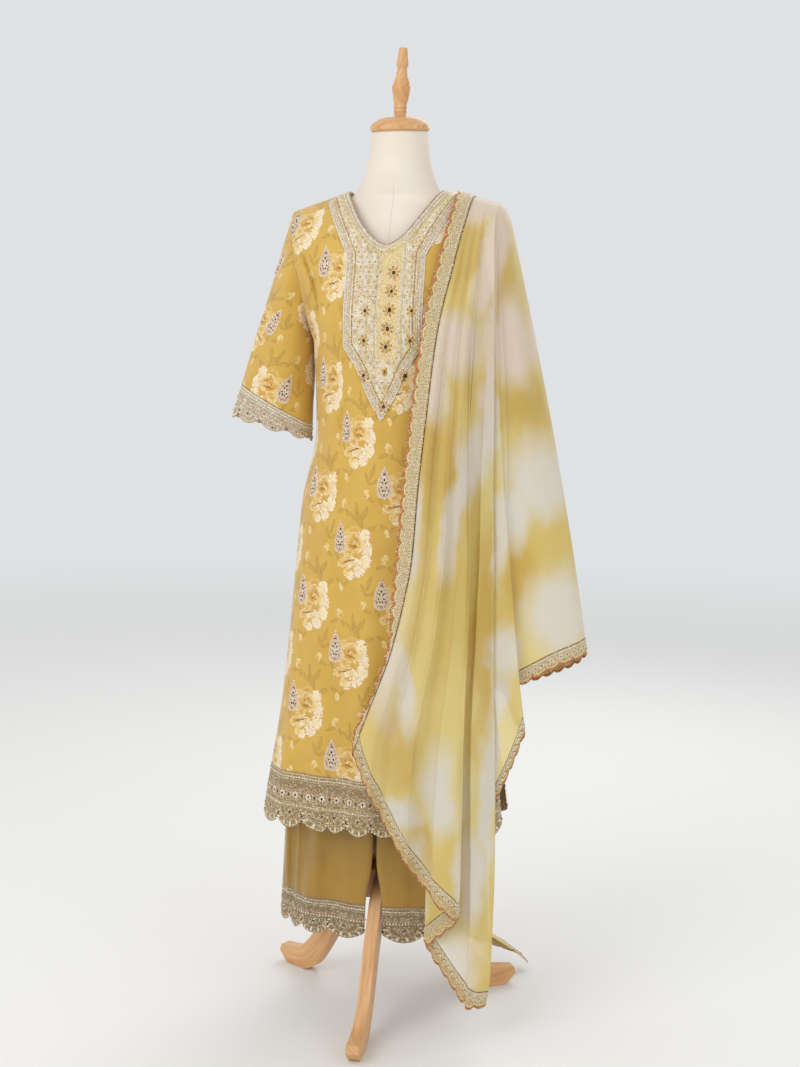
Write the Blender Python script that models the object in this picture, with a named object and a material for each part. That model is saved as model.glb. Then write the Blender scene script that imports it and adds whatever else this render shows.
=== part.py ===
"""Salwar kameez suit with its dupatta, worn by a limbless dress form on a wooden tripod.

Metres, +Z up. The wearer faces -Y, and the wearer's left is +X. Heights are above the floor.
Each cloth piece is a thin wall made from a grid of points on its outer face. A grid's columns run
left to right as seen from outside and its rows run down, so the wall's inner face lies behind it.
"""

import math
from collections import namedtuple

import bmesh
import bpy
import numpy as np

# Cloth and seams
SEAM = 0.0003
CLOTH = 0.0022
CHIFFON = 0.0014
TRIM = 0.0026

# Kameez
NECK_HALF = 0.085
NECK_HEIGHT = 1.470
SHOULDER_HALF = 0.190
SHOULDER_HEIGHT = 1.437
SHOULDER_ROUND = 0.11
V_HEIGHT = 1.364
V_POWER = 1.7
BACK_NECK_HEIGHT = 1.448
UNDERARM_HEIGHT = 1.210
KAMEEZ_HEM = 0.349
KAMEEZ_TRIM = 0.098
PLACKET_HALF = 0.068
PLACKET_SHARE = 0.4
BUST_HEIGHT = 1.235
BUST_HALF_GAP = 0.078

# Sleeves
SLEEVE_HEM_INNER = (0.152, 1.028)
SLEEVE_HEM_OUTER = (0.302, 1.070)
COVERED_HEM_OUTER = (0.266, 1.085)
SLEEVE_HEM_DEPTH = 0.046
CUFF_SHARE = 0.165

# Trousers
WAIST_HEIGHT = 1.082
BAND_WIDTH = 0.036
CROTCH_HEIGHT = 0.780
INSEAM_ARCH = 0.310
TROUSER_HEM = 0.150
TROUSER_TRIM = 0.064

# Dupatta
DUPATTA_TRIM = 0.030
RIDGE_LIFT = 0.0042
FALL_CLEARANCE = 0.0048
FALL_SPREAD = 0.016
SLEEVE_COVER = 0.078
FLATTENING = 0.28
FALL_TOP = 1.40
FALL_FULL = 0.45
SIDE_TOP = 1.4455
SIDE_FULL = 0.60
SIDE_BEND = 0.06
TUCK = 0.012

# Scallops
SMALL_SCALLOP = 0.036
SCALLOP_DEPTH = 0.017
SMALL_SCALLOP_DEPTH = 0.010

# Dress form and stand
FORM_BOTTOM = 0.840
NECK_TOP = 1.573
NECK_TOP_RADIUS = 0.0485
NECK_SLANT = math.radians(11)
CAP_RADIUS = 0.0525
FINIAL_LEAN = math.radians(4)
POLE_RADIUS = 0.0125
HUB_RADIUS = 0.036
HUB_TOP = 0.262
HUB_BOTTOM = 0.196
LEG_THICKNESS = 0.022
LEG_AZIMUTHS = {"front": 0, "rear_left": 120, "rear_right": -120}

Body = namedtuple("Body", "z width front back edge_front edge_back")
KAMEEZ = [
    Body(1.437, 0.190, 0.088, 0.080, 0.020, 0.020),
    Body(1.400, 0.187, 0.095, 0.090, 0.036, 0.034),
    Body(1.350, 0.177, 0.104, 0.098, 0.050, 0.046),
    Body(1.290, 0.163, 0.115, 0.102, 0.046, 0.040),
    Body(1.235, 0.153, 0.124, 0.102, 0.022, 0.020),
    Body(1.205, 0.1475, 0.125, 0.102, 0.004, 0.004),
    Body(1.050, 0.141, 0.122, 0.101, 0.002, 0.002),
    Body(0.920, 0.165, 0.128, 0.130, 0.002, 0.002),
    Body(0.810, 0.174, 0.131, 0.128, 0.006, 0.006),
    Body(0.700, 0.180, 0.133, 0.129, 0.018, 0.014),
    Body(0.550, 0.192, 0.136, 0.132, 0.034, 0.026),
    Body(0.435, 0.208, 0.138, 0.135, 0.046, 0.034),
    Body(0.345, 0.220, 0.140, 0.138, 0.052, 0.040),
]

Leg = namedtuple("Leg", "z width front back inner")
TROUSERS = [
    Leg(1.082, 0.1215, 0.0905, 0.0905, SEAM),
    Leg(1.046, 0.1225, 0.0915, 0.0915, SEAM),
    Leg(0.980, 0.1435, 0.1045, 0.105, SEAM),
    Leg(0.900, 0.157, 0.114, 0.116, SEAM),
    Leg(0.780, 0.166, 0.114, 0.116, SEAM),
    Leg(0.740, 0.167, 0.113, 0.115, 0.002),
    Leg(0.500, 0.177, 0.108, 0.108, 0.003),
    Leg(0.300, 0.186, 0.104, 0.104, 0.004),
    Leg(0.225, 0.188, 0.102, 0.103, 0.014),
    Leg(0.150, 0.191, 0.100, 0.102, 0.017),
]

Torso = namedtuple("Torso", "z width front back")
FORM = [
    Torso(0.840, 0.140, 0.098, 0.102),
    Torso(0.850, 0.147, 0.104, 0.108),
    Torso(0.900, 0.150, 0.107, 0.110),
    Torso(0.980, 0.136, 0.098, 0.098),
    Torso(1.050, 0.1185, 0.0875, 0.0875),
    Torso(1.090, 0.1175, 0.0865, 0.0865),
    Torso(1.150, 0.124, 0.095, 0.088),
    Torso(1.230, 0.136, 0.110, 0.090),
    Torso(1.300, 0.142, 0.098, 0.088),
    Torso(1.360, 0.150, 0.084, 0.080),
    Torso(1.400, 0.160, 0.074, 0.068),
    Torso(1.4226, 0.1615, 0.0625, 0.058),
    Torso(1.4384, 0.1472, 0.0554, 0.052),
    Torso(1.4485, 0.1232, 0.0514, 0.049),
    Torso(1.4553, 0.094, 0.048, 0.047),
    Torso(1.4690, 0.0740, 0.049, 0.049),
    Torso(1.500, 0.0610, 0.052, 0.052),
    Torso(1.530, 0.0530, 0.0505, 0.0505),
    Torso(1.573, 0.0485, 0.0485, 0.0485),
]

Edge = namedtuple("Edge", "z left right trim")
FALL_EDGES = [
    Edge(1.472, 0.137, 0.176, 0.030),
    Edge(1.430, 0.134, 0.178, 0.030),
    Edge(1.330, 0.117, 0.182, 0.030),
    Edge(1.200, 0.094, 0.186, 0.030),
    Edge(1.068, 0.081, 0.189, 0.030),
    Edge(0.950, 0.071, 0.191, 0.030),
    Edge(0.835, 0.064, 0.195, 0.030),
    Edge(0.760, 0.052, 0.197, 0.022),
    Edge(0.680, 0.034, 0.200, 0.010),
    Edge(0.620, 0.014, 0.202, 0.008),
    Edge(0.570, -0.004, 0.205, 0.010),
    Edge(0.510, -0.022, 0.208, 0.016),
    Edge(0.300, -0.040, 0.214, 0.016),
    Edge(0.120, -0.040, 0.211, 0.016),
    Edge(0.050, -0.040, 0.203, 0.016),
]

# A fold's place across the fall, from 0 at its inner edge to 1, and how far it stands out: first high up by
# the shoulder, then low down. cells is how many cells of cloth lie between this row and the next.
Fold = namedtuple("Fold", "high low out_high out_low hem cells")
FRONT_FOLDS = [
    Fold(0.000, 0.000, 0.0000, 0.011, 0.535, 3),
    Fold(0.110, 0.130, 0.0020, 0.017, 0.478, 3),
    Fold(0.200, 0.250, 0.0000, 0.007, 0.428, 3),
    Fold(0.310, 0.390, 0.0030, 0.020, 0.375, 3),
    Fold(0.410, 0.510, 0.0000, 0.009, 0.328, 3),
    Fold(0.510, 0.660, 0.0030, 0.023, 0.290, 3),
    Fold(0.590, 0.775, 0.0030, 0.019, 0.264, 1),
    Fold(0.605, 0.772, 0.0020, 0.007, 0.258, 3),
    Fold(0.660, 0.570, 0.0005, -0.005, 0.208, 1),
    Fold(0.675, 0.570, -0.0005, -0.015, 0.200, 4),
    Fold(0.800, 0.760, 0.0010, -0.014, 0.135, 3),
    Fold(0.910, 0.900, 0.0015, -0.006, 0.100, 3),
    Fold(1.000, 1.000, 0.0000, -0.012, 0.092, 0),
]

BACK_EDGES = [
    Edge(1.472, 0.137, 0.176, 0.030),
    Edge(1.330, 0.118, 0.182, 0.030),
    Edge(1.000, 0.078, 0.180, 0.030),
    Edge(0.700, 0.044, 0.169, 0.030),
    Edge(0.300, 0.006, 0.160, 0.030),
    Edge(0.050, -0.004, 0.154, 0.030),
]
BACK_FOLDS = [
    Fold(0.00, 0.00, 0.000, 0.008, 0.330, 2),
    Fold(0.14, 0.13, 0.003, 0.018, 0.290, 2),
    Fold(0.27, 0.25, 0.000, 0.006, 0.250, 2),
    Fold(0.40, 0.40, 0.003, 0.020, 0.205, 3),
    Fold(0.53, 0.54, 0.000, 0.006, 0.160, 3),
    Fold(0.66, 0.68, 0.003, 0.020, 0.118, 3),
    Fold(0.78, 0.80, 0.000, 0.006, 0.085, 3),
    Fold(0.90, 0.92, 0.002, 0.010, 0.056, 3),
    Fold(1.00, 1.00, 0.000, -0.008, 0.044, 0),
]
TRAIL_HEIGHT = 0.11
TRAIL_REACH = 0.105
TRAIL_BACK = 0.046

# Folds of the stretch over the covered sleeve: reach from the tuck behind the front fall (0) to the sleeve's
# outer side (1), and depth as a share of the front fall's (-1) or the back fall's (1).
Side = namedtuple("Side", "high low depth hem cells")
SIDE_FOLDS = [
    Side(0.00, 0.00, -1.00, 0.430, 2),
    Side(0.14, 0.30, -0.99, 0.560, 1),
    Side(0.20, 0.30, -0.91, 0.560, 2),
    Side(0.34, 0.16, -0.89, 0.630, 1),
    Side(0.40, 0.16, -0.80, 0.632, 3),
    Side(0.68, 0.60, -0.66, 0.668, 2),
    Side(0.92, 0.89, -0.34, 0.688, 2),
    Side(1.00, 1.00, 0.000, 0.694, 2),
    Side(0.92, 0.89, 0.340, 0.668, 2),
    Side(0.62, 0.58, 0.680, 0.634, 3),
    Side(0.28, 0.24, 0.920, 0.602, 2),
    Side(0.00, 0.00, 1.000, 0.590, 0),
]

# Half outline of a wooden leg: distance from the column, height of its middle, and its depth there.
Bar = namedtuple("Bar", "reach height depth")
STAND_LEG = [
    Bar(0.0366, 0.228, 0.054),
    Bar(0.060, 0.215, 0.050),
    Bar(0.090, 0.180, 0.046),
    Bar(0.118, 0.138, 0.043),
    Bar(0.140, 0.096, 0.042),
    Bar(0.162, 0.060, 0.042),
    Bar(0.186, 0.0320, 0.046),
    Bar(0.208, 0.0200, 0.042),
    Bar(0.236, 0.0180, 0.038),
    Bar(0.262, 0.0270, 0.014),
]

# Turned outline of the finial, in millimetres: radius and height above the cap.
FINIAL_MM = [
    (0, 0), (10.3, 0), (10.3, 5.5), (11.6, 8.5), (11.6, 11), (10.6, 12.5), (11.6, 14), (11.6, 16.5),
    (10.8, 18.5), (13.2, 27.5), (16.0, 44), (16.4, 49.5), (15.0, 52), (14.0, 57), (10.4, 66), (8.8, 76),
    (8.8, 81), (10.6, 83.5), (10.6, 88), (8.2, 105), (7.4, 111), (6.4, 113), (0, 113),
]
CAP_MM = [(0, 0), (50.0, 0), (52.5, 3), (52.5, 8), (48.5, 14), (36, 21), (24, 24), (0, 24)]

# Finish of each kind of surface: colour, roughness, metallic.
FINISHES = {
    "kameez_print": ((0.78, 0.55, 0.16), 0.55, 0.0),
    "zari_trim": ((0.72, 0.62, 0.45), 0.45, 0.2),
    "trouser_silk": ((0.66, 0.45, 0.10), 0.45, 0.0),
    "dupatta_chiffon": ((0.84, 0.72, 0.30), 0.60, 0.0),
    "form_jersey": ((0.83, 0.78, 0.68), 0.75, 0.0),
    "stand_wood": ((0.62, 0.38, 0.17), 0.40, 0.0),
}


def curve(table, column, at):
    """Smooth value of one column of a table, at heights given by the table's first column, with no overshoot."""
    rows = sorted(table, key=lambda row: row[0])
    key = np.array([row[0] for row in rows])
    value = np.array([getattr(row, column) for row in rows])
    slope = np.diff(value) / np.diff(key)
    tangent = np.zeros(len(key))
    inner = slope[:-1] * slope[1:] > 0
    tangent[1:-1][inner] = 2 * slope[:-1][inner] * slope[1:][inner] / (slope[:-1] + slope[1:])[inner]
    tangent[0], tangent[-1] = slope[0], slope[-1]
    at = np.clip(np.asarray(at, float), key[0], key[-1])
    i = np.clip(np.searchsorted(key, at) - 1, 0, len(key) - 2)
    step = key[i + 1] - key[i]
    t = (at - key[i]) / step
    start = (1 + 2 * t) * (1 - t) ** 2 * value[i] + t * (1 - t) ** 2 * step * tangent[i]
    return start + t * t * (3 - 2 * t) * value[i + 1] - t * t * (1 - t) * step * tangent[i + 1]


def along(values, share):
    """A smooth line through evenly spaced values, read at a share from 0 to 1 of its length."""
    values = np.asarray(values, float)
    padded = np.concatenate([[2 * values[0] - values[1]], values, [2 * values[-1] - values[-2]]])
    place = np.clip(np.asarray(share, float), 0, 1) * (len(values) - 1)
    i = np.clip(place.astype(int), 0, len(values) - 2)
    t = place - i
    a, b, c, d = padded[i], padded[i + 1], padded[i + 2], padded[i + 3]
    return b + 0.5 * t * (c - a + t * (2 * a - 5 * b + 4 * c - d + t * (3 * (b - c) + d - a)))


def columns_of(rows):
    """Shares at which a table's rows are crossed, with each row's cells evenly apart up to the next row."""
    places = [i + k / row.cells for i, row in enumerate(rows) for k in range(row.cells)]
    return np.array(places + [len(rows) - 1]) / (len(rows) - 1)


def smooth(t):
    t = np.clip(t, 0, 1)
    return t * t * (3 - 2 * t)


def shoulder_height(x):
    """Height of the shoulder seam's line, carried on across the neck."""
    slope = (NECK_HEIGHT - SHOULDER_HEIGHT) / (SHOULDER_HALF - NECK_HALF)
    return NECK_HEIGHT - (np.abs(x) - NECK_HALF) * slope


def rounding(drop):
    """Share of the full depth that a shape has reached at this drop below the shoulder's ridge."""
    return np.sqrt(np.clip(1 - (1 - np.clip(drop / SHOULDER_ROUND, 0, 1)) ** 2, 0, 1))


def kameez_depth(x, z, side):
    """How far the kameez stands out in front of the shoulder's plane, or behind it."""
    width = curve(KAMEEZ, "width", z)
    full = curve(KAMEEZ, side, z)
    edge = curve(KAMEEZ, "edge_" + side, z)
    across = np.clip(np.abs(x) / width, 0, 1)
    depth = edge + (full - edge) * (1 - across**2.4) ** 0.6
    if side == "front":
        apart = (np.abs(x) - BUST_HALF_GAP) / 0.055
        depth = depth + 0.010 * np.exp(-(apart**2) - ((z - BUST_HEIGHT) / 0.075) ** 2)
    hang = smooth((1.0 - z) / 0.5) * (1 - across**4)
    wave = np.cos(x * 46 + 0.6) + 0.6 * np.cos(x * 83 + 2.1)
    depth = depth + 0.0045 * hang * wave
    return depth * rounding(shoulder_height(x) - z)


def kameez_x(across, z):
    """Sideways place of a column: straight within the placket, following the side seam beyond it."""
    a = np.abs(across)
    width = curve(KAMEEZ, "width", z)
    outer = PLACKET_HALF + (width - PLACKET_HALF) * (a - PLACKET_SHARE) / (1 - PLACKET_SHARE)
    return np.sign(across) * np.where(a <= PLACKET_SHARE, PLACKET_HALF * a / PLACKET_SHARE, outer)


def kameez_top(across, side):
    """Height of the neckline or shoulder seam at a column."""
    a = np.abs(across)
    neck_share = PLACKET_SHARE + (1 - PLACKET_SHARE) * (NECK_HALF - PLACKET_HALF) / (SHOULDER_HALF - PLACKET_HALF)
    low = V_HEIGHT if side == "front" else BACK_NECK_HEIGHT
    power = V_POWER if side == "front" else 2.5
    neckline = low + (NECK_HEIGHT - low) * (np.clip(a / neck_share, 0, 1)) ** power
    return np.where(a < neck_share, neckline, shoulder_height(kameez_x(across, NECK_HEIGHT)))


def kameez_point(across, z, side, out=0.0):
    """A point of the front or back panel's outer face; out moves it away from the body."""
    x = kameez_x(across, z)
    y = kameez_depth(x, z, side) + SEAM / 2 + out
    return np.stack([x, -y if side == "front" else y, z + 0 * x], axis=-1)


# The front panel's columns, and the heights at which two of its rows cross each of them. The embroidered
# yoke ends on those rows: the upper one bounds its shoulder bands and the lower one its long middle.
Column = namedtuple("Column", "across band placket")
FRONT_COLUMNS = [
    Column(0.000, 1.338, 1.064),
    Column(0.133, 1.340, 1.103),
    Column(0.267, 1.343, 1.155),
    Column(0.400, 1.345, 1.190),
    Column(0.446, 1.362, 1.197),
    Column(0.4836, 1.378, 1.200),
    Column(0.646, 1.446, 1.212),
    Column(0.740, 1.425, 1.212),
    Column(0.830, 1.405, 1.210),
    Column(0.920, 1.385, 1.208),
    Column(1.000, 1.370, 1.205),
]
BAND_COLUMNS = 6
PLACKET_COLUMNS = 3
BAND_ROWS = 4
PLACKET_ROWS = 4
SKIRT_ROWS = 9
BACK_HEIGHTS = [1.385, 1.325, 1.265, 1.205]
BACK_ROWS = 8


def both_sides(half):
    half = list(half)
    return np.array([-a for a in half[:0:-1]] + half)


def sample(surface, share, height, turn=1, ring=False):
    """Points of a surface and the directions into the cloth behind them. Each direction is square to the line
    between the columns on both sides at the same height, and is longer at a sharp bend, like a mitre."""
    step = 0.001
    before, after = np.roll(share, 1), np.roll(share, -1)
    if ring:
        before[0] -= 1
        after[-1] += 1
    else:
        before[0], after[-1] = share[0], share[-1]
    before, after, share, height = np.broadcast_arrays(before, after, share, height)
    across = surface(after, height) - surface(before, height)
    down = surface(share, height - step) - surface(share, height + step)
    point = surface(share, height)
    onward = surface(after, height) - point
    if not ring:
        onward[..., -1, :] = across[..., -1, :]
    inward, beside = np.cross(across, down) * turn, np.cross(onward, down) * turn
    inward /= np.linalg.norm(inward, axis=-1, keepdims=True)
    beside /= np.linalg.norm(beside, axis=-1, keepdims=True)
    bend = np.sum(inward * beside, axis=-1, keepdims=True)
    return point, inward / np.clip(bend, 0.6, 1)


def flattened(inward, where, axis):
    """Turns the directions at a seam into the seam's plane, so that two pieces can meet there."""
    inward = inward.copy()
    inward[where, axis] = 0
    return inward / np.linalg.norm(inward, axis=-1, keepdims=True)


def wall(name, grid, inward, thickness, finish, ring=False, keep=None):
    """One closed cloth wall behind a grid of outer points. keep(row, column) leaves cells out."""
    rows, columns = grid.shape[:2]
    mesh = bmesh.new()
    points = [[[mesh.verts.new(p) for p in row] for row in face] for face in (grid, grid + inward * thickness)]
    last = columns if ring else columns - 1
    cells = {(r, c) for r in range(rows - 1) for c in range(last) if keep is None or keep(r, c)}

    def around(c):
        return c % columns if ring else c

    for r, c in cells:
        d = around(c + 1)
        for face in points:
            mesh.faces.new([face[r][c], face[r][d], face[r + 1][d], face[r + 1][c]])
        sides = {
            (r - 1, c): ((r, c), (r, d)),
            (r + 1, c): ((r + 1, c), (r + 1, d)),
            (r, around(c - 1)): ((r, c), (r + 1, c)),
            (r, around(c + 1)): ((r, d), (r + 1, d)),
        }
        for neighbour, (a, b) in sides.items():
            if neighbour not in cells:
                mesh.faces.new([points[0][a[0]][a[1]], points[0][b[0]][b[1]],
                                points[1][b[0]][b[1]], points[1][a[0]][a[1]]])
    loose = [v for v in mesh.verts if not v.link_faces]
    bmesh.ops.delete(mesh, geom=loose, context="VERTS")
    return add_object(name, mesh, finish)


def grid_inward(grid):
    """Directions into the cloth for a ring of columns, from the grid itself."""
    inward = np.cross(np.roll(grid, -1, axis=1) - np.roll(grid, 1, axis=1), np.gradient(grid, axis=0))
    return inward / np.linalg.norm(inward, axis=-1, keepdims=True)


def scalloped(seam, free, inward, counts, depth, ring=False):
    """The grid of a trim between a cloth's edge and its own free edge. counts gives the scallops on each
    stretch between the cloth's points, and a half means that two stretches share one."""
    if ring:
        seam, free, inward = (np.concatenate([line, line[:1]]) for line in (seam, free, inward))
    place, crest = [0.0], [0.0]
    for i, count in enumerate(counts):
        steps = int(round(max(count, 1) * 2))
        for k in range(1, steps + 1):
            place.append(i + k / steps)
            phase = (i % 2 + k / steps) / 2 if count == 0.5 else k / 2
            crest.append(math.sin(math.pi * (phase % 1)))
    whole = np.arange(len(seam))

    def refined(line):
        return np.stack([np.interp(place, whole, line[:, axis]) for axis in range(3)], axis=-1)

    seam, free, inward = refined(seam), refined(free), refined(inward)
    width = np.linalg.norm(free - seam, axis=1, keepdims=True)
    out = (free - seam) / width
    run = np.gradient(seam, axis=0)
    run /= np.linalg.norm(run, axis=1, keepdims=True)
    apart = out - run * np.sum(out * run, axis=1, keepdims=True)
    apart /= np.linalg.norm(apart, axis=1, keepdims=True)
    cut = np.minimum(depth, 0.4 * width) * (1 - np.array(crest)[:, None])
    grid = np.array([seam + apart * 2 * SEAM, free - out * cut])
    inward = np.array([inward, inward])
    if ring:
        grid, inward = grid[:, :-1], inward[:, :-1]
    return grid, inward


def add_object(name, mesh, finish):
    """Puts a bmesh into the scene as one named object with its material."""
    bmesh.ops.recalc_face_normals(mesh, faces=mesh.faces[:])
    data = bpy.data.meshes.new(name)
    mesh.to_mesh(data)
    mesh.free()
    data.shade_smooth()
    data.set_sharp_from_angle(angle=math.radians(50))
    data.materials.append(material(finish))
    obj = bpy.data.objects.new(name, data)
    bpy.context.scene.collection.objects.link(obj)
    return obj


def material(finish):
    """The Principled material of a finish, made once."""
    found = bpy.data.materials.get(finish)
    if found:
        return found
    colour, roughness, metallic = FINISHES[finish]
    made = bpy.data.materials.new(finish)
    made.use_nodes = True
    shader = made.node_tree.nodes["Principled BSDF"]
    shader.inputs["Base Color"].default_value = (*colour, 1)
    shader.inputs["Roughness"].default_value = roughness
    shader.inputs["Metallic"].default_value = metallic
    return made


def mirrored(line):
    """The same points or directions on the wearer's other side."""
    return line * np.array([-1, 1, 1])


def evenly(line, count):
    """Shares from 0 to 1 that divide a line of points into equal lengths. line(shares) gives the points."""
    fine = np.linspace(0, 1, 241)
    length = np.concatenate([[0], np.cumsum(np.linalg.norm(np.diff(line(fine), axis=0), axis=1))])
    return np.interp(np.linspace(0, length[-1], count + 1), length, fine)


def panel_inward(points, inward):
    """Directions into a panel, laid into the planes of the shoulder seam and the armhole."""
    top = np.zeros(points.shape[:2], bool)
    top[0] = np.abs(points[0, :, 1]) < 0.001
    inward = flattened(inward, top, 1)
    armhole = np.zeros(points.shape[:2], bool)
    armhole[:, [0, -1]] = points[:, [0, -1], 2] > UNDERARM_HEIGHT
    return flattened(inward, armhole, 0)


def front_panel():
    """Points of the front panel. Two of its rows are the lines on which the yoke ends."""
    across = both_sides([c.across for c in FRONT_COLUMNS])
    band = np.array([c.band for c in FRONT_COLUMNS])
    placket = np.array([c.placket for c in FRONT_COLUMNS])
    band, placket = (np.concatenate([line[:0:-1], line]) for line in (band, placket))
    top = kameez_top(across, "front")
    low = np.full_like(top, KAMEEZ_HEM + KAMEEZ_TRIM)
    heights = [top + (band - top) * (k / BAND_ROWS) ** 2.2 for k in range(BAND_ROWS)]
    heights += [band + (placket - band) * k / PLACKET_ROWS for k in range(PLACKET_ROWS)]
    heights += [placket + (low - placket) * k / SKIRT_ROWS for k in range(SKIRT_ROWS + 1)]
    points, inward = sample(lambda a, z: kameez_point(a, z, "front"), across, np.array(heights))
    return points, panel_inward(points, inward)


def back_panel():
    across = both_sides([c.across for c in FRONT_COLUMNS])
    top = kameez_top(across, "back")
    low = np.full_like(top, KAMEEZ_HEM + KAMEEZ_TRIM)
    heights = [top + (BACK_HEIGHTS[0] - top) * (k / BAND_ROWS) ** 2.2 for k in range(BAND_ROWS)]
    heights += [z + 0 * top for z in BACK_HEIGHTS[:-1]]
    heights += [BACK_HEIGHTS[-1] + (low - BACK_HEIGHTS[-1]) * k / BACK_ROWS for k in range(BACK_ROWS + 1)]
    points, inward = sample(lambda a, z: kameez_point(a, z, "back"), across, np.array(heights), -1)
    return points, panel_inward(points, inward)


def kameez_hem(name, panel, side):
    """The embroidered trim below a panel, with its scalloped edge."""
    across = both_sides([c.across for c in FRONT_COLUMNS])
    free = kameez_point(across, np.full_like(across, KAMEEZ_HEM), side)
    points, inward = panel
    counts = [0.5] * (len(across) - 1)
    wall(name, *scalloped(points[-1], free, inward[-1], counts, SCALLOP_DEPTH), TRIM, "zari_trim")


YOKE_LIFT = 0.0004
YOKE_THICKNESS = 0.0012


def neck_yoke(panel):
    """The embroidered yoke, made from the front panel's own points and moved out from them."""
    points, inward = panel
    middle = len(FRONT_COLUMNS) - 1
    columns = slice(middle - BAND_COLUMNS, middle + BAND_COLUMNS + 1)
    rows = slice(0, BAND_ROWS + PLACKET_ROWS + 1)
    points, inward = points[rows, columns], inward[rows, columns]

    def keep(row, column):
        away = abs(column + 0.5 - BAND_COLUMNS)
        return row < BAND_ROWS or away < PLACKET_COLUMNS

    lifted = points - inward * (YOKE_LIFT + YOKE_THICKNESS)
    wall("neck_yoke", lifted, inward, YOKE_THICKNESS, "zari_trim", keep=keep)


def sleeve_point(share_round, share_up, outer):
    """A point of the wearer's left sleeve. share_round runs from the shoulder to the back, under and forward,
    and share_up is 0 at the hem and 1 at the armhole."""
    turn = 2 * np.pi * share_round
    middle = (SHOULDER_HEIGHT + UNDERARM_HEIGHT) / 2
    half = (SHOULDER_HEIGHT - UNDERARM_HEIGHT) / 2
    z = middle + half * np.cos(turn)
    behind = np.sin(turn) > 0
    edge = np.where(behind, curve(KAMEEZ, "edge_back", z), curve(KAMEEZ, "edge_front", z))
    reach = edge * rounding(shoulder_height(SHOULDER_HALF) - z) + 0.004 * np.abs(np.sin(turn))
    armhole = np.stack([curve(KAMEEZ, "width", z) + 2 * SEAM, np.where(behind, reach, -reach), z], axis=-1)
    middle_x = (SLEEVE_HEM_INNER[0] + outer[0]) / 2
    middle_z = (SLEEVE_HEM_INNER[1] + outer[1]) / 2
    half_x = (outer[0] - SLEEVE_HEM_INNER[0]) / 2
    half_z = (outer[1] - SLEEVE_HEM_INNER[1]) / 2
    hem = np.stack([middle_x + half_x * np.cos(turn), SLEEVE_HEM_DEPTH * np.sin(turn),
                    middle_z + half_z * np.cos(turn)], axis=-1)
    up = np.asarray(share_up, float)[..., None]
    swell = 0.004 * np.sin(np.pi * np.clip(up, 0, 1)) * np.sin(turn)[..., None] * np.array([0, 1, 0])
    return armhole * up + hem * (1 - up) + swell


SLEEVE_COLUMNS = 18
SLEEVE_ROWS = 7


def sleeve(name, cuff_name, outer, mirror):
    """One bell sleeve and the scalloped cuff below it."""
    around = np.arange(SLEEVE_COLUMNS) / SLEEVE_COLUMNS
    up = 1 - (1 - CUFF_SHARE) * np.linspace(0, 1, SLEEVE_ROWS + 1) ** 1.15
    grid, inward = sample(lambda a, v: sleeve_point(a, v, outer), around, up[:, None], ring=True)
    armhole = np.zeros(grid.shape[:2], bool)
    armhole[0] = True
    inward = flattened(inward, armhole, 0)
    free = sleeve_point(around, np.zeros_like(around), outer)
    counts = [0.5] * SLEEVE_COLUMNS
    cuff, cuff_inward = scalloped(grid[-1], free, inward[-1], counts, SCALLOP_DEPTH * 0.8, ring=True)
    if mirror:
        grid, inward, cuff, cuff_inward = map(mirrored, (grid, inward, cuff, cuff_inward))
    wall(name, grid, inward, CLOTH, "kameez_print", ring=True)
    wall(cuff_name, cuff, cuff_inward, TRIM, "zari_trim", ring=True)


def trouser_outer(share, z):
    """A point of the wearer's left leg on its open side: front seam, outer side, back seam."""
    turn = np.pi * (share - 0.5)
    inner = curve(TROUSERS, "inner", z)
    width = curve(TROUSERS, "width", z)
    depth = np.where(turn < 0, curve(TROUSERS, "front", z), curve(TROUSERS, "back", z))
    fall = smooth((0.85 - z) / 0.4)
    wave = 0.004 * fall * np.cos(share * 27 + 0.8) * np.sin(np.pi * share) ** 2
    x = inner + (width - inner) * np.abs(np.cos(turn)) ** 0.85 + wave
    y = depth * np.sin(turn) * (1 + 0.035 * fall * np.cos(share * 33))
    return np.stack([x, y, z + 0 * x], axis=-1)


def trouser_inner(share, z):
    """A point of the inseam side, from the back seam to the front, bowed out round the stand's pole."""
    inner = curve(TROUSERS, "inner", z)
    front = trouser_outer(np.zeros(1), np.full(1, z))[0, 1]
    back = trouser_outer(np.ones(1), np.full(1, z))[0, 1]
    y = back + (front - back) * share
    x = inner + 0.019 * np.exp(-((y / 0.034) ** 2)) * np.sin(np.pi * share) ** 0.5
    return np.stack([x, y, z + 0 * x], axis=-1)


OUTER_CELLS = 18
INNER_CELLS = 6
TROUSER_ROWS = [WAIST_HEIGHT - BAND_WIDTH, 0.990, 0.920, 0.850, CROTCH_HEIGHT, 0.620, 0.460,
                INSEAM_ARCH, TROUSER_HEM + TROUSER_TRIM]


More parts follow.
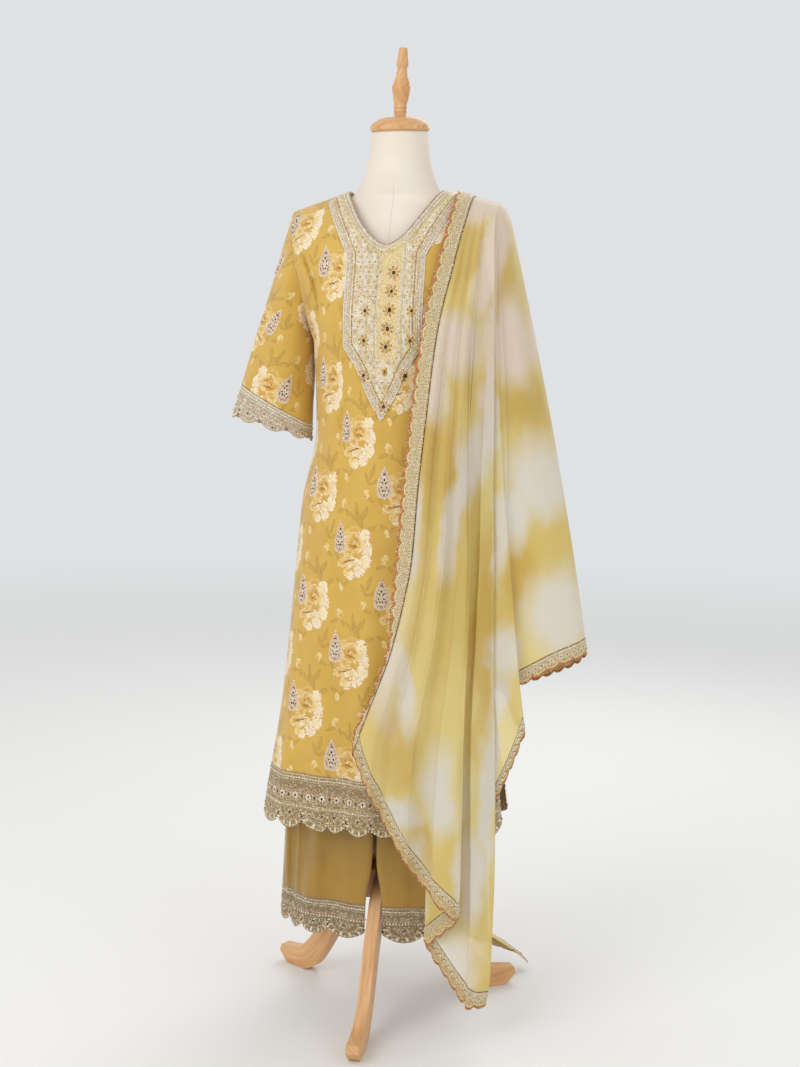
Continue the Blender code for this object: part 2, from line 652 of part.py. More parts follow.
def trouser_leg(name, trim_name, mirror):
    """One leg of the trousers with its half of the seat, and the scalloped trim at its hem."""
    outer = evenly(lambda share: trouser_outer(share, np.full_like(share, TROUSER_HEM)), OUTER_CELLS)
    inner = np.linspace(0, 1, INNER_CELLS + 1)[1:-1]
    grid = []
    for z in TROUSER_ROWS:
        grid.append(np.concatenate([trouser_outer(outer, np.full_like(outer, z)), trouser_inner(inner, z)]))
    grid = np.array(grid)
    inward = grid_inward(grid)
    first = TROUSER_ROWS.index(CROTCH_HEIGHT)
    last = TROUSER_ROWS.index(INSEAM_ARCH)

    def keep(row, column):
        return column < OUTER_CELLS or first <= row < last

    free = trouser_outer(outer, np.full_like(outer, TROUSER_HEM))
    seam = grid[-1, : OUTER_CELLS + 1]
    counts = [0.5] * OUTER_CELLS
    trim, trim_inward = scalloped(seam, free, inward[-1, : OUTER_CELLS + 1], counts, SCALLOP_DEPTH * 0.8)
    if mirror:
        grid, inward, trim, trim_inward = map(mirrored, (grid, inward, trim, trim_inward))
    wall(name, grid, inward, CLOTH, "trouser_silk", ring=True, keep=keep)
    wall(trim_name, trim, trim_inward, TRIM, "zari_trim")


def waistband():
    """The elastic casing that holds the trousers on the form."""
    turn = np.linspace(0, 2 * np.pi, 28, endpoint=False)
    grid = []
    for z in (WAIST_HEIGHT, WAIST_HEIGHT - BAND_WIDTH + SEAM):
        width = curve(TROUSERS, "width", z)
        depth = np.where(np.sin(turn) < 0, curve(TROUSERS, "front", z), curve(TROUSERS, "back", z))
        grid.append(np.stack([width * np.cos(turn), depth * np.sin(turn), z + 0 * turn], axis=-1))
    grid = np.array(grid)
    wall("trouser_waistband", grid, grid_inward(grid), CLOTH, "trouser_silk", ring=True)


HANG_LEVELS = [1.28, 1.24, 1.20, 1.10, 0.95, 0.80, 0.60, 0.45, 0.35]


def fall_depth(x, z, side):
    """Depth of the dupatta's inner face: it lies on the kameez down to the bust, and hangs from there. Away
    from the shoulder it is flatter across than the body is."""
    drop = shoulder_height(x) + RIDGE_LIFT - z
    nearer = x * (1 - FLATTENING * smooth(drop / 0.25))
    depth = kameez_depth(nearer, z - RIDGE_LIFT, side)
    for level in HANG_LEVELS:
        depth = np.maximum(depth, np.where(z < level, kameez_depth(nearer, level + 0 * x, side), 0))
    depth = np.maximum(depth, SLEEVE_COVER * smooth((x - 0.09) / 0.06) * rounding(drop))
    return depth + FALL_CLEARANCE * smooth(drop / 0.03) + FALL_SPREAD * fall_share(z)


def fall_share(z):
    """How far the hanging folds have opened at a height: 0 at the shoulder, 1 low down."""
    return smooth((FALL_TOP - z) / (FALL_TOP - FALL_FULL))


def fall_tables(side):
    return (FALL_EDGES, FRONT_FOLDS) if side == "front" else (BACK_EDGES, BACK_FOLDS)


def fall_point(share, z, side, beyond=0.0):
    """A point of the dupatta's front or back fall. beyond is how far past its inner edge it lies."""
    edges, folds = fall_tables(side)
    t = fall_share(z)
    place = along([f.high for f in folds], share) * (1 - t) + along([f.low for f in folds], share) * t
    out = along([f.out_high for f in folds], share) * (1 - t) + along([f.out_low for f in folds], share) * t
    left = curve(edges, "left", z)
    x = left + (curve(edges, "right", z) - left) * place - beyond
    drop = shoulder_height(x) + RIDGE_LIFT + CHIFFON - z
    y = fall_depth(x, z, side) + out * smooth(drop / 0.15) + SEAM / 2 + CHIFFON * smooth(drop / 0.03)
    if side == "back":
        trail = smooth((TRAIL_HEIGHT - z) / TRAIL_HEIGHT) * smooth((share - 0.5) / 0.4)
        x = x + TRAIL_REACH * trail
        y = y + TRAIL_BACK * trail ** 0.7
    return np.stack([x, -y if side == "front" else y, z + 0 * x], axis=-1)


def fall_hem(share, side):
    return along([f.hem for f in fall_tables(side)[1]], share)


# Depths below the shoulder's ridge of a fall's first rows, where it curves over the shoulder.
RIDGE_ROWS = [0, 0.0054, 0.021, 0.0453, 0.076, 0.11]


def fall_sheet(side, rows):
    """Points of a fall, and the shares of its columns."""
    edges, folds = fall_tables(side)
    share = columns_of(folds)
    x = edges[0].left + (edges[0].right - edges[0].left) * along([f.high for f in folds], share)
    top = shoulder_height(x) + RIDGE_LIFT + CHIFFON
    heights = [top - drop for drop in RIDGE_ROWS]
    start, low = heights[-1], fall_hem(share, side)
    heights += [start + (low - start) * (1 - (1 - k / rows) ** 1.25) for k in range(1, rows + 1)]
    points, inward = sample(lambda s, z: fall_point(s, z, side), share, np.array(heights), fall_turn(side))
    return share, points, ridge_inward(points, inward)


def fall_turn(side):
    return 1 if side == "front" else -1


def ridge_inward(points, inward):
    top = np.zeros(points.shape[:2], bool)
    top[0] = True
    return flattened(inward, top, 1)


def edge_trim_line(points, side):
    """The free edge of the trim beside a fall's inner edge. Over the shoulder it follows the ridge."""
    z = points[:, 0, 2]
    edges = fall_tables(side)[0]
    width = curve(edges, "trim", z)
    x = points[:, 0, 0]
    rise = (shoulder_height(x - width) - shoulder_height(x)) * (1 - smooth((z[0] - z) / 0.12))
    return fall_point(np.zeros_like(z), z + rise, side, width)


def end_trim_line(share, points, side):
    """The free edge of the trim at a fall's slanting end, lower where the end is steep."""
    hem = points[-1]
    run = np.linalg.norm(np.gradient(hem[:, :2], axis=0), axis=1)
    steep = np.abs(np.gradient(hem[:, 2])) / np.maximum(run, 1e-6)
    drop = DUPATTA_TRIM * np.minimum(np.sqrt(1 + steep**2), 1.35)
    return fall_point(share, np.maximum(hem[:, 2] - drop, 0.006), side)


def fall(side, rows):
    """One fall of the dupatta with the trims of its inner edge and its slanting end."""
    name = "dupatta_" + side
    share, points, inward = fall_sheet(side, rows)
    wall(name, points, inward, CHIFFON, "dupatta_chiffon")
    edge, end = edge_trim_line(points, side), end_trim_line(share, points, side)
    corner = np.array([edge[-1, 0], (edge[-1, 1] + end[0, 1]) / 2, end[0, 2]])
    edge[-1] = corner + (0, 0, 4 * SEAM)
    end[0] = corner + (4 * SEAM, 0, 0)
    seam, end_seam = points[:, 0].copy(), points[-1].copy()
    seam[-1] += (seam[-2] - seam[-1]) * 0.015
    end_seam[0] += (end_seam[1] - end_seam[0]) * 0.06
    length = np.linalg.norm(np.diff(seam, axis=0), axis=1)
    counts = [max(1, round(part / SMALL_SCALLOP)) for part in length]
    grid, sides = scalloped(seam, edge, inward[:, 0], counts, SMALL_SCALLOP_DEPTH)
    wall(name + "_edge", grid, sides, CHIFFON, "zari_trim")
    grid, sides = scalloped(end_seam, end, inward[-1], [1] * (len(share) - 1), SMALL_SCALLOP_DEPTH)
    wall(name + "_end", grid, sides, CHIFFON, "zari_trim")


def side_share(z):
    return np.clip((SIDE_TOP - z) / (SIDE_TOP - SIDE_FULL), 0, 1.2)


def side_point(share, z):
    """A point of the dupatta's stretch over the covered sleeve, from behind the front fall round to the back."""
    t = side_share(z)
    low = t ** 1.6
    reach = along([f.high for f in SIDE_FOLDS], share) * (1 - low) + along([f.low for f in SIDE_FOLDS], share) * low
    depth = along([f.depth for f in SIDE_FOLDS], share)
    front = depth < 0
    edge = np.where(front, curve(FALL_EDGES, "right", z), curve(BACK_EDGES, "right", z))
    inner = edge + 0.0008 - TUCK * smooth((1.43 - z) / 0.15)
    outer = 0.1925 + 0.1715 * (t + SIDE_BEND * np.sin(np.pi * t))
    behind = 0.0065 * smooth((1.44 - z) / 0.08) + 0.010 * fall_share(z)
    fall_y = np.where(front, fall_depth(edge, z, "front"), fall_depth(edge, z, "back")) - behind
    ripple = 0.003 * smooth((1.3 - z) / 0.5) * np.sin(share * 24) * np.sin(np.pi * share) ** 2
    x = inner + (outer - inner) * reach + ripple
    y = depth * np.maximum(fall_y, 0) + np.sign(depth) * SEAM / 2
    return np.stack([x, y, z + 0 * x], axis=-1)


SIDE_ROWS = 7


def dupatta_side():
    """The cloth over the covered sleeve, and the trim of its long edge."""
    share = columns_of(SIDE_FOLDS)
    hem = along([f.hem for f in SIDE_FOLDS], share)
    heights = [SIDE_TOP - drop + 0 * share for drop in RIDGE_ROWS]
    heights += [heights[5] + (hem - heights[5]) * k / SIDE_ROWS for k in range(1, SIDE_ROWS + 1)]
    points, inward = sample(side_point, share, np.array(heights))
    inward[0] = (0, 0, -1)
    wall("dupatta_side", points, inward, CHIFFON, "dupatta_chiffon")
    free = side_point(share, hem - DUPATTA_TRIM)
    grid, sides = scalloped(points[-1], free, inward[-1], [1] * (len(share) - 1), SMALL_SCALLOP_DEPTH)
    wall("dupatta_side_trim", grid, sides, CHIFFON, "zari_trim")


def dress_form():
    """The padded torso: level sections from the hip up, the neck's top slanting down to the front."""
    turn = np.linspace(0, 2 * np.pi, 28, endpoint=False)
    mesh = bmesh.new()
    rings = []
    for row in FORM:
        depth = np.where(np.sin(turn) < 0, row.front, row.back)
        x, y = row.width * np.cos(turn), depth * np.sin(turn)
        slant = smooth((row.z - 1.48) / (NECK_TOP - 1.48)) * math.tan(NECK_SLANT)
        rings.append([mesh.verts.new((a, b, row.z + b * slant)) for a, b in zip(x, y)])
    for lower, upper in zip(rings, rings[1:]):
        for i in range(len(turn)):
            j = (i + 1) % len(turn)
            mesh.faces.new([lower[i], lower[j], upper[j], upper[i]])
    mesh.faces.new(rings[0][::-1])
    mesh.faces.new(rings[-1])
    add_object("form_torso", mesh, "form_jersey")


def turned(name, outline, steps, finish):
    """A piece turned round +Z from its outline of radius and height, starting and ending on the axis."""
    mesh = bmesh.new()
    line = [mesh.verts.new((r, 0, z)) for r, z in outline]
    edges = [mesh.edges.new(pair) for pair in zip(line, line[1:])]
    bmesh.ops.spin(mesh, geom=line + edges, cent=(0, 0, 0), axis=(0, 0, 1), angle=2 * math.pi, steps=steps,
                   use_merge=True)
    bmesh.ops.remove_doubles(mesh, verts=mesh.verts[:], dist=1e-5)
    return add_object(name, mesh, finish)


def neck_cap_and_finial():
    """The wooden cap on the slanting neck, and the turned finial that stands on it."""
    millimetre = 0.001
    cap = turned("neck_cap", [(r * millimetre, z * millimetre) for r, z in CAP_MM], 28, "stand_wood")
    cap.location = (0, 0, NECK_TOP + SEAM)
    cap.rotation_euler = (NECK_SLANT, 0, 0)
    finial = turned("finial", [(r * millimetre, z * millimetre) for r, z in FINIAL_MM], 12, "stand_wood")
    finial.parent = cap
    lean_rise = FINIAL_MM[1][0] * millimetre * math.sin(FINIAL_LEAN)
    finial.location = (0, 0, CAP_MM[-1][1] * millimetre + lean_rise + SEAM)
    finial.rotation_euler = (0, FINIAL_LEAN, 0)


def stand():
    """The pole with its turned hub, and three bent wooden legs."""
    outline = [
        (0, HUB_BOTTOM), (HUB_RADIUS - 0.006, HUB_BOTTOM), (HUB_RADIUS, HUB_BOTTOM + 0.005),
        (HUB_RADIUS, HUB_TOP - 0.008), (HUB_RADIUS - 0.010, HUB_TOP), (POLE_RADIUS, HUB_TOP + 0.004),
        (POLE_RADIUS, FORM_BOTTOM - SEAM), (0, FORM_BOTTOM - SEAM),
    ]
    turned("stand_column", outline, 24, "stand_wood")
    for name, azimuth in LEG_AZIMUTHS.items():
        leg = add_object("stand_leg_" + name, leg_mesh(), "stand_wood")
        leg.rotation_euler = (0, 0, math.radians(azimuth))


def leg_mesh():
    """A leg cut from a board, reaching out along -Y and resting on the floor near its end."""
    middle = np.array([(bar.reach, bar.height) for bar in STAND_LEG])
    along_leg = np.gradient(middle, axis=0)
    along_leg /= np.linalg.norm(along_leg, axis=1, keepdims=True)
    across = np.stack([-along_leg[:, 1], along_leg[:, 0]], axis=1)
    across[0] = (0, 1)
    half = np.array([[bar.depth / 2] for bar in STAND_LEG])
    upper = middle + across * half
    lower = middle - across * half
    lower[:, 1] = np.maximum(lower[:, 1], 0)
    mesh = bmesh.new()
    sides = []
    for x in (-LEG_THICKNESS / 2, LEG_THICKNESS / 2):
        sides.append([[mesh.verts.new((x, -reach, z)) for reach, z in line] for line in (upper, lower)])
    count = len(STAND_LEG)
    for i in range(count - 1):
        for side in sides:
            mesh.faces.new([side[0][i], side[0][i + 1], side[1][i + 1], side[1][i]])
        for line in (0, 1):
            mesh.faces.new([sides[0][line][i], sides[0][line][i + 1], sides[1][line][i + 1], sides[1][line][i]])
    for i in (0, count - 1):
        mesh.faces.new([sides[0][0][i], sides[0][1][i], sides[1][1][i], sides[1][0][i]])
    return mesh


def kameez():
    front, back = front_panel(), back_panel()
    wall("kameez_front", *front, CLOTH, "kameez_print")
    wall("kameez_back", *back, CLOTH, "kameez_print")
    kameez_hem("kameez_hem_front", front, "front")
    kameez_hem("kameez_hem_back", back, "back")
    neck_yoke(front)
    sleeve("sleeve_right", "cuff_right", SLEEVE_HEM_OUTER, mirror=True)
    sleeve("sleeve_left", "cuff_left", COVERED_HEM_OUTER, mirror=False)


def trousers():
    trouser_leg("trouser_left", "trouser_hem_left", mirror=False)
    trouser_leg("trouser_right", "trouser_hem_right", mirror=True)
    waistband()


def dupatta():
    fall("front", 8)
    fall("back", 8)
    dupatta_side()


def centre_on_floor():
    """Moves every object so that the origin is under the middle of the whole, on the floor."""
    bpy.context.view_layer.update()
    corners = np.array([obj.matrix_world @ v.co for obj in bpy.data.objects for v in obj.data.vertices])
    middle = (corners.min(axis=0) + corners.max(axis=0)) / 2
    for obj in bpy.data.objects:
        if obj.parent is None:
            obj.location.x -= middle[0]
            obj.location.y -= middle[1]


def main():
    for obj in list(bpy.data.objects):
        bpy.data.objects.remove(obj)
    dress_form()
    neck_cap_and_finial()
    stand()
    trousers()
    kameez()
    dupatta()
    centre_on_floor()


main()
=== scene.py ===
"""Looks of a salwar kameez suit with its dupatta on a dress form: fine cloth, print, embroidery, wood and light.

Metres, +Z up. Shapes are worked out with the stand's pole at x = y = 0, and each mesh is moved to the pole's place
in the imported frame. The wearer faces -Y, and the wearer's left is +X.
"""

import math
from collections import namedtuple

import bmesh
import bpy
import numpy as np
from mathutils import Matrix, Vector
from mathutils.kdtree import KDTree


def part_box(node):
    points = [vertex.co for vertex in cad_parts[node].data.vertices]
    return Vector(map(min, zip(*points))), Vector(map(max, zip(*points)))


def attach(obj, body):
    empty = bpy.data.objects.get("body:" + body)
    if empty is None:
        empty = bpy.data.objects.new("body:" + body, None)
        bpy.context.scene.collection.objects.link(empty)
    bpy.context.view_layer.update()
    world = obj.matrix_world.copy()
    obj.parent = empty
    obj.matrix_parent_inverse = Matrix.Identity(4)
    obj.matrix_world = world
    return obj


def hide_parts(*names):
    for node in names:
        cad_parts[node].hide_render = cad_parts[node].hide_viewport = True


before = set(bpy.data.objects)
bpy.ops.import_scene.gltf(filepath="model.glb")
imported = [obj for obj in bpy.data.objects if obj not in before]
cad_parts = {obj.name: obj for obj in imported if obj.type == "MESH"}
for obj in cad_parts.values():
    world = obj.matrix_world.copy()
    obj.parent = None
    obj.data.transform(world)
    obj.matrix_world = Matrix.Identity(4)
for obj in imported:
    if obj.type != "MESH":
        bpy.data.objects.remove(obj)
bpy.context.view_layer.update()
COLUMN_LOW, COLUMN_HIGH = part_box("stand_column")
POLE = np.array([(COLUMN_LOW.x + COLUMN_HIGH.x) / 2, (COLUMN_LOW.y + COLUMN_HIGH.y) / 2, 0.0])

# Cloth and seams: the gap that is left at a seam, and each cloth's thickness
SEAM = 0.0003
PRINT_THICKNESS = 0.0009
SILK_THICKNESS = 0.0008
BORDER_THICKNESS = 0.0012
CHIFFON = 0.0014

# Kameez
NECK_HALF = 0.085
NECK_HEIGHT = 1.470
SHOULDER_HALF = 0.190
SHOULDER_HEIGHT = 1.437
SHOULDER_ROUND = 0.11
V_HEIGHT = 1.364
V_POWER = 1.7
BACK_NECK_HEIGHT = 1.448
UNDERARM_HEIGHT = 1.210
KAMEEZ_HEM = 0.349
KAMEEZ_TRIM = 0.098
PLACKET_HALF = 0.068
PLACKET_SHARE = 0.4
BUST_HEIGHT = 1.235
BUST_HALF_GAP = 0.078

# Sleeves
SLEEVE_HEM_INNER = (0.152, 1.028)
SLEEVE_HEM_OUTER = (0.302, 1.070)
COVERED_HEM_OUTER = (0.266, 1.085)
SLEEVE_HEM_DEPTH = 0.046
CUFF_SHARE = 0.165

# Trousers
WAIST_HEIGHT = 1.082
BAND_WIDTH = 0.036
CROTCH_HEIGHT = 0.780
INSEAM_ARCH = 0.310
TROUSER_HEM = 0.150
TROUSER_TRIM = 0.064

# Dupatta
DUPATTA_TRIM = 0.030
RIDGE_LIFT = 0.0042
FALL_CLEARANCE = 0.0048
FALL_SPREAD = 0.016
SLEEVE_COVER = 0.078
FLATTENING = 0.28
FALL_TOP = 1.40
FALL_FULL = 0.45
SIDE_TOP = 1.4455
SIDE_FULL = 0.60
SIDE_BEND = 0.06
TUCK = 0.012

# Cells of the CAD's sleeves and trouser legs, which its borders follow: two to a scallop
SLEEVE_COLUMNS = 18
OUTER_CELLS = 18

# Scallops: how deep they are cut, their pitch on the lace, and the size of the lace's cells
SCALLOP_DEPTH = 0.017
SMALL_SCALLOP_DEPTH = 0.010
LACE_SCALLOP = 0.026
LACE_CELL = 0.0022

# Borders: depth, width of a scallop in the print, and depth of the shell that is worked in it
HEM_SIZES = (KAMEEZ_TRIM, 0.046, 0.036)
CUFF_SIZES = (0.060, 0.046, 0.030)
TROUSER_SIZES = (TROUSER_TRIM, 0.040, 0.030)

# Work on the borders: places of the first bead row, from the seam, and of the last one, from the shells; where the
# stripe between them starts; and the pitches of the beads, of the hem's flowers and of the narrower borders' rings
FIRST_ROW = 0.0075
LAST_ROW = 0.0045
STRIPE_TOP = 0.016
BEAD_PITCH = 0.0056
FLOWER_PITCH = 0.026
RING_PITCH = 0.0125

# Work on the lace: place and pitch of its bead row, and pitch of its flowers
LACE_ROW = 0.0048
LACE_BEAD_PITCH = 0.0050
LACE_FLOWER_PITCH = 0.0125

# Dress form and stand
FORM_BOTTOM = 0.840
NECK_TOP = 1.573
NECK_SLANT = math.radians(11)
FINIAL_LEAN = math.radians(4)
POLE_RADIUS = 0.0125
HUB_RADIUS = 0.036
HUB_TOP = 0.262
HUB_BOTTOM = 0.196
LEG_THICKNESS = 0.022
LEG_AZIMUTHS = {"front": 0, "rear_left": 120, "rear_right": -120}

Body = namedtuple("Body", "z width front back edge_front edge_back")
KAMEEZ = [
    Body(1.437, 0.190, 0.088, 0.080, 0.020, 0.020),
    Body(1.400, 0.187, 0.095, 0.090, 0.036, 0.034),
    Body(1.350, 0.177, 0.104, 0.098, 0.050, 0.046),
    Body(1.290, 0.163, 0.115, 0.102, 0.046, 0.040),
    Body(1.235, 0.153, 0.124, 0.102, 0.022, 0.020),
    Body(1.205, 0.1475, 0.125, 0.102, 0.004, 0.004),
    Body(1.050, 0.141, 0.122, 0.101, 0.002, 0.002),
    Body(0.920, 0.165, 0.128, 0.130, 0.002, 0.002),
    Body(0.810, 0.174, 0.131, 0.128, 0.006, 0.006),
    Body(0.700, 0.180, 0.133, 0.129, 0.018, 0.014),
    Body(0.550, 0.192, 0.136, 0.132, 0.034, 0.026),
    Body(0.435, 0.208, 0.138, 0.135, 0.046, 0.034),
    Body(0.345, 0.220, 0.140, 0.138, 0.052, 0.040),
]

Leg = namedtuple("Leg", "z width front back inner")
TROUSERS = [
    Leg(1.082, 0.1215, 0.0905, 0.0905, SEAM),
    Leg(1.046, 0.1225, 0.0915, 0.0915, SEAM),
    Leg(0.980, 0.1435, 0.1045, 0.105, SEAM),
    Leg(0.900, 0.157, 0.114, 0.116, SEAM),
    Leg(0.780, 0.166, 0.114, 0.116, SEAM),
    Leg(0.740, 0.167, 0.113, 0.115, 0.002),
    Leg(0.500, 0.177, 0.108, 0.108, 0.003),
    Leg(0.300, 0.186, 0.104, 0.104, 0.004),
    Leg(0.225, 0.188, 0.102, 0.103, 0.014),
    Leg(0.150, 0.191, 0.100, 0.102, 0.017),
]

Torso = namedtuple("Torso", "z width front back")
FORM = [
    Torso(0.840, 0.140, 0.098, 0.102),
    Torso(0.850, 0.147, 0.104, 0.108),
    Torso(0.900, 0.150, 0.107, 0.110),
    Torso(0.980, 0.136, 0.098, 0.098),
    Torso(1.050, 0.1185, 0.0875, 0.0875),
    Torso(1.090, 0.1175, 0.0865, 0.0865),
    Torso(1.150, 0.124, 0.095, 0.088),
    Torso(1.230, 0.136, 0.110, 0.090),
    Torso(1.300, 0.142, 0.098, 0.088),
    Torso(1.360, 0.150, 0.084, 0.080),
    Torso(1.400, 0.160, 0.074, 0.068),
    Torso(1.4226, 0.1615, 0.0625, 0.058),
    Torso(1.4384, 0.1472, 0.0554, 0.052),
    Torso(1.4485, 0.1232, 0.0514, 0.049),
    Torso(1.4553, 0.094, 0.048, 0.047),
    Torso(1.4690, 0.0740, 0.049, 0.049),
    Torso(1.500, 0.0610, 0.052, 0.052),
    Torso(1.530, 0.0530, 0.0505, 0.0505),
    Torso(1.573, 0.0485, 0.0485, 0.0485),
]

Edge = namedtuple("Edge", "z left right trim")
FALL_EDGES = [
    Edge(1.472, 0.137, 0.176, 0.030),
    Edge(1.430, 0.134, 0.178, 0.030),
    Edge(1.330, 0.117, 0.182, 0.030),
    Edge(1.200, 0.094, 0.186, 0.030),
    Edge(1.068, 0.081, 0.189, 0.030),
    Edge(0.950, 0.071, 0.191, 0.030),
    Edge(0.835, 0.064, 0.195, 0.030),
    Edge(0.760, 0.052, 0.197, 0.022),
    Edge(0.680, 0.034, 0.200, 0.010),
    Edge(0.620, 0.014, 0.202, 0.008),
    Edge(0.570, -0.004, 0.205, 0.010),
    Edge(0.510, -0.022, 0.208, 0.016),
    Edge(0.300, -0.040, 0.214, 0.016),
    Edge(0.120, -0.040, 0.211, 0.016),
    Edge(0.050, -0.040, 0.203, 0.016),
]

# A fold's place across the fall, from 0 at its inner edge to 1, and how far it stands out: first high up by
# the shoulder, then low down. cells is how many cells of cloth lie between this row and the next.
Fold = namedtuple("Fold", "high low out_high out_low hem cells")
FRONT_FOLDS = [
    Fold(0.000, 0.000, 0.0000, 0.011, 0.535, 3),
    Fold(0.110, 0.130, 0.0020, 0.017, 0.478, 3),
    Fold(0.200, 0.250, 0.0000, 0.007, 0.428, 3),
    Fold(0.310, 0.390, 0.0030, 0.020, 0.375, 3),
    Fold(0.410, 0.510, 0.0000, 0.009, 0.328, 3),
    Fold(0.510, 0.660, 0.0030, 0.023, 0.290, 3),
    Fold(0.590, 0.775, 0.0030, 0.019, 0.264, 1),
    Fold(0.605, 0.772, 0.0020, 0.007, 0.258, 3),
    Fold(0.660, 0.570, 0.0005, -0.005, 0.208, 1),
    Fold(0.675, 0.570, -0.0005, -0.015, 0.200, 4),
    Fold(0.800, 0.760, 0.0010, -0.014, 0.135, 3),
    Fold(0.910, 0.900, 0.0015, -0.006, 0.100, 3),
    Fold(1.000, 1.000, 0.0000, -0.012, 0.092, 0),
]

BACK_EDGES = [
    Edge(1.472, 0.137, 0.176, 0.030),
    Edge(1.330, 0.118, 0.182, 0.030),
    Edge(1.000, 0.078, 0.180, 0.030),
    Edge(0.700, 0.044, 0.169, 0.030),
    Edge(0.300, 0.006, 0.160, 0.030),
    Edge(0.050, -0.004, 0.154, 0.030),
]
BACK_FOLDS = [
    Fold(0.00, 0.00, 0.000, 0.008, 0.330, 2),
    Fold(0.14, 0.13, 0.003, 0.018, 0.290, 2),
    Fold(0.27, 0.25, 0.000, 0.006, 0.250, 2),
    Fold(0.40, 0.40, 0.003, 0.020, 0.205, 3),
    Fold(0.53, 0.54, 0.000, 0.006, 0.160, 3),
    Fold(0.66, 0.68, 0.003, 0.020, 0.118, 3),
    Fold(0.78, 0.80, 0.000, 0.006, 0.085, 3),
    Fold(0.90, 0.92, 0.002, 0.010, 0.056, 3),
    Fold(1.00, 1.00, 0.000, -0.008, 0.044, 0),
]
TRAIL_HEIGHT = 0.11
TRAIL_REACH = 0.105
TRAIL_BACK = 0.046

# Folds of the stretch over the covered sleeve: reach from the tuck behind the front fall (0) to the sleeve's
# outer side (1), and depth as a share of the front fall's (-1) or the back fall's (1).
Side = namedtuple("Side", "high low depth hem cells")
SIDE_FOLDS = [
    Side(0.00, 0.00, -1.00, 0.430, 2),
    Side(0.14, 0.30, -0.99, 0.560, 1),
    Side(0.20, 0.30, -0.91, 0.560, 2),
    Side(0.34, 0.16, -0.89, 0.630, 1),
    Side(0.40, 0.16, -0.80, 0.632, 3),
    Side(0.68, 0.60, -0.66, 0.668, 2),
    Side(0.92, 0.89, -0.34, 0.688, 2),
    Side(1.00, 1.00, 0.000, 0.694, 2),
    Side(0.92, 0.89, 0.340, 0.668, 2),
    Side(0.62, 0.58, 0.680, 0.634, 3),
    Side(0.28, 0.24, 0.920, 0.602, 2),
    Side(0.00, 0.00, 1.000, 0.590, 0),
]

# A wooden leg seen from its side: distance from the pole, height of its middle line, and its depth there.
Bar = namedtuple("Bar", "reach height depth")
STAND_LEG = [
    Bar(0.0366, 0.228, 0.054),
    Bar(0.060, 0.215, 0.050),
    Bar(0.090, 0.180, 0.046),
    Bar(0.118, 0.138, 0.043),
    Bar(0.140, 0.096, 0.042),
    Bar(0.162, 0.060, 0.042),
    Bar(0.186, 0.0320, 0.046),
    Bar(0.208, 0.0200, 0.042),
    Bar(0.236, 0.0180, 0.038),
    Bar(0.262, 0.0270, 0.014),
]

# Turned outline of the finial, in millimetres: radius and height above the cap.
FINIAL_MM = [
    (0, 0), (10.3, 0), (10.3, 5.5), (11.6, 8.5), (11.6, 11), (10.6, 12.5), (11.6, 14), (11.6, 16.5),
    (10.8, 18.5), (13.2, 27.5), (16.0, 44), (16.4, 49.5), (15.0, 52), (14.0, 57), (10.4, 66), (8.8, 76),
    (8.8, 81), (10.6, 83.5), (10.6, 88), (8.2, 105), (7.4, 111), (6.4, 113), (0, 113),
]
# The neck cap's outline, in the same way.
CAP_MM = [(0, 0), (50.0, 0), (52.5, 3), (52.5, 8), (48.5, 14), (36, 21), (24, 24), (0, 24)]


def curve(table, column, at):
    """Smooth value of one column of a table, at heights given by the table's first column, with no overshoot."""
    rows = sorted(table, key=lambda row: row[0])
    key = np.array([row[0] for row in rows])
    value = np.array([getattr(row, column) for row in rows])
    slope = np.diff(value) / np.diff(key)
    tangent = np.zeros(len(key))
    inner = slope[:-1] * slope[1:] > 0
    tangent[1:-1][inner] = 2 * slope[:-1][inner] * slope[1:][inner] / (slope[:-1] + slope[1:])[inner]
    tangent[0], tangent[-1] = slope[0], slope[-1]
    at = np.clip(np.asarray(at, float), key[0], key[-1])
    i = np.clip(np.searchsorted(key, at) - 1, 0, len(key) - 2)
    step = key[i + 1] - key[i]
    t = (at - key[i]) / step
    start = (1 + 2 * t) * (1 - t) ** 2 * value[i] + t * (1 - t) ** 2 * step * tangent[i]
    return start + t * t * (3 - 2 * t) * value[i + 1] - t * t * (1 - t) * step * tangent[i + 1]


def along(values, share):
    """A smooth line through evenly spaced values, read at a share from 0 to 1 of its length."""
    values = np.asarray(values, float)
    padded = np.concatenate([[2 * values[0] - values[1]], values, [2 * values[-1] - values[-2]]])
    place = np.clip(np.asarray(share, float), 0, 1) * (len(values) - 1)
    i = np.clip(place.astype(int), 0, len(values) - 2)
    t = place - i
    a, b, c, d = padded[i], padded[i + 1], padded[i + 2], padded[i + 3]
    return b + 0.5 * t * (c - a + t * (2 * a - 5 * b + 4 * c - d + t * (3 * (b - c) + d - a)))


def columns_of(rows):
    """Shares at which a table's rows are crossed, with each row's cells evenly apart up to the next row."""
    places = [i + k / row.cells for i, row in enumerate(rows) for k in range(row.cells)]
    return np.array(places + [len(rows) - 1]) / (len(rows) - 1)


def smooth(t):
    """0 up to t = 0 and 1 from t = 1 on, with a smooth rise between them."""
    t = np.clip(t, 0, 1)
    return t * t * (3 - 2 * t)


def run_length(points):
    """Distance along a line of points, from its first one."""
    return np.concatenate([[0], np.linalg.norm(np.diff(points, axis=0), axis=1).cumsum()])


def shoulder_height(x):
    """Height of the shoulder seam's line, carried on across the neck."""
    slope = (NECK_HEIGHT - SHOULDER_HEIGHT) / (SHOULDER_HALF - NECK_HALF)
    return NECK_HEIGHT - (np.abs(x) - NECK_HALF) * slope


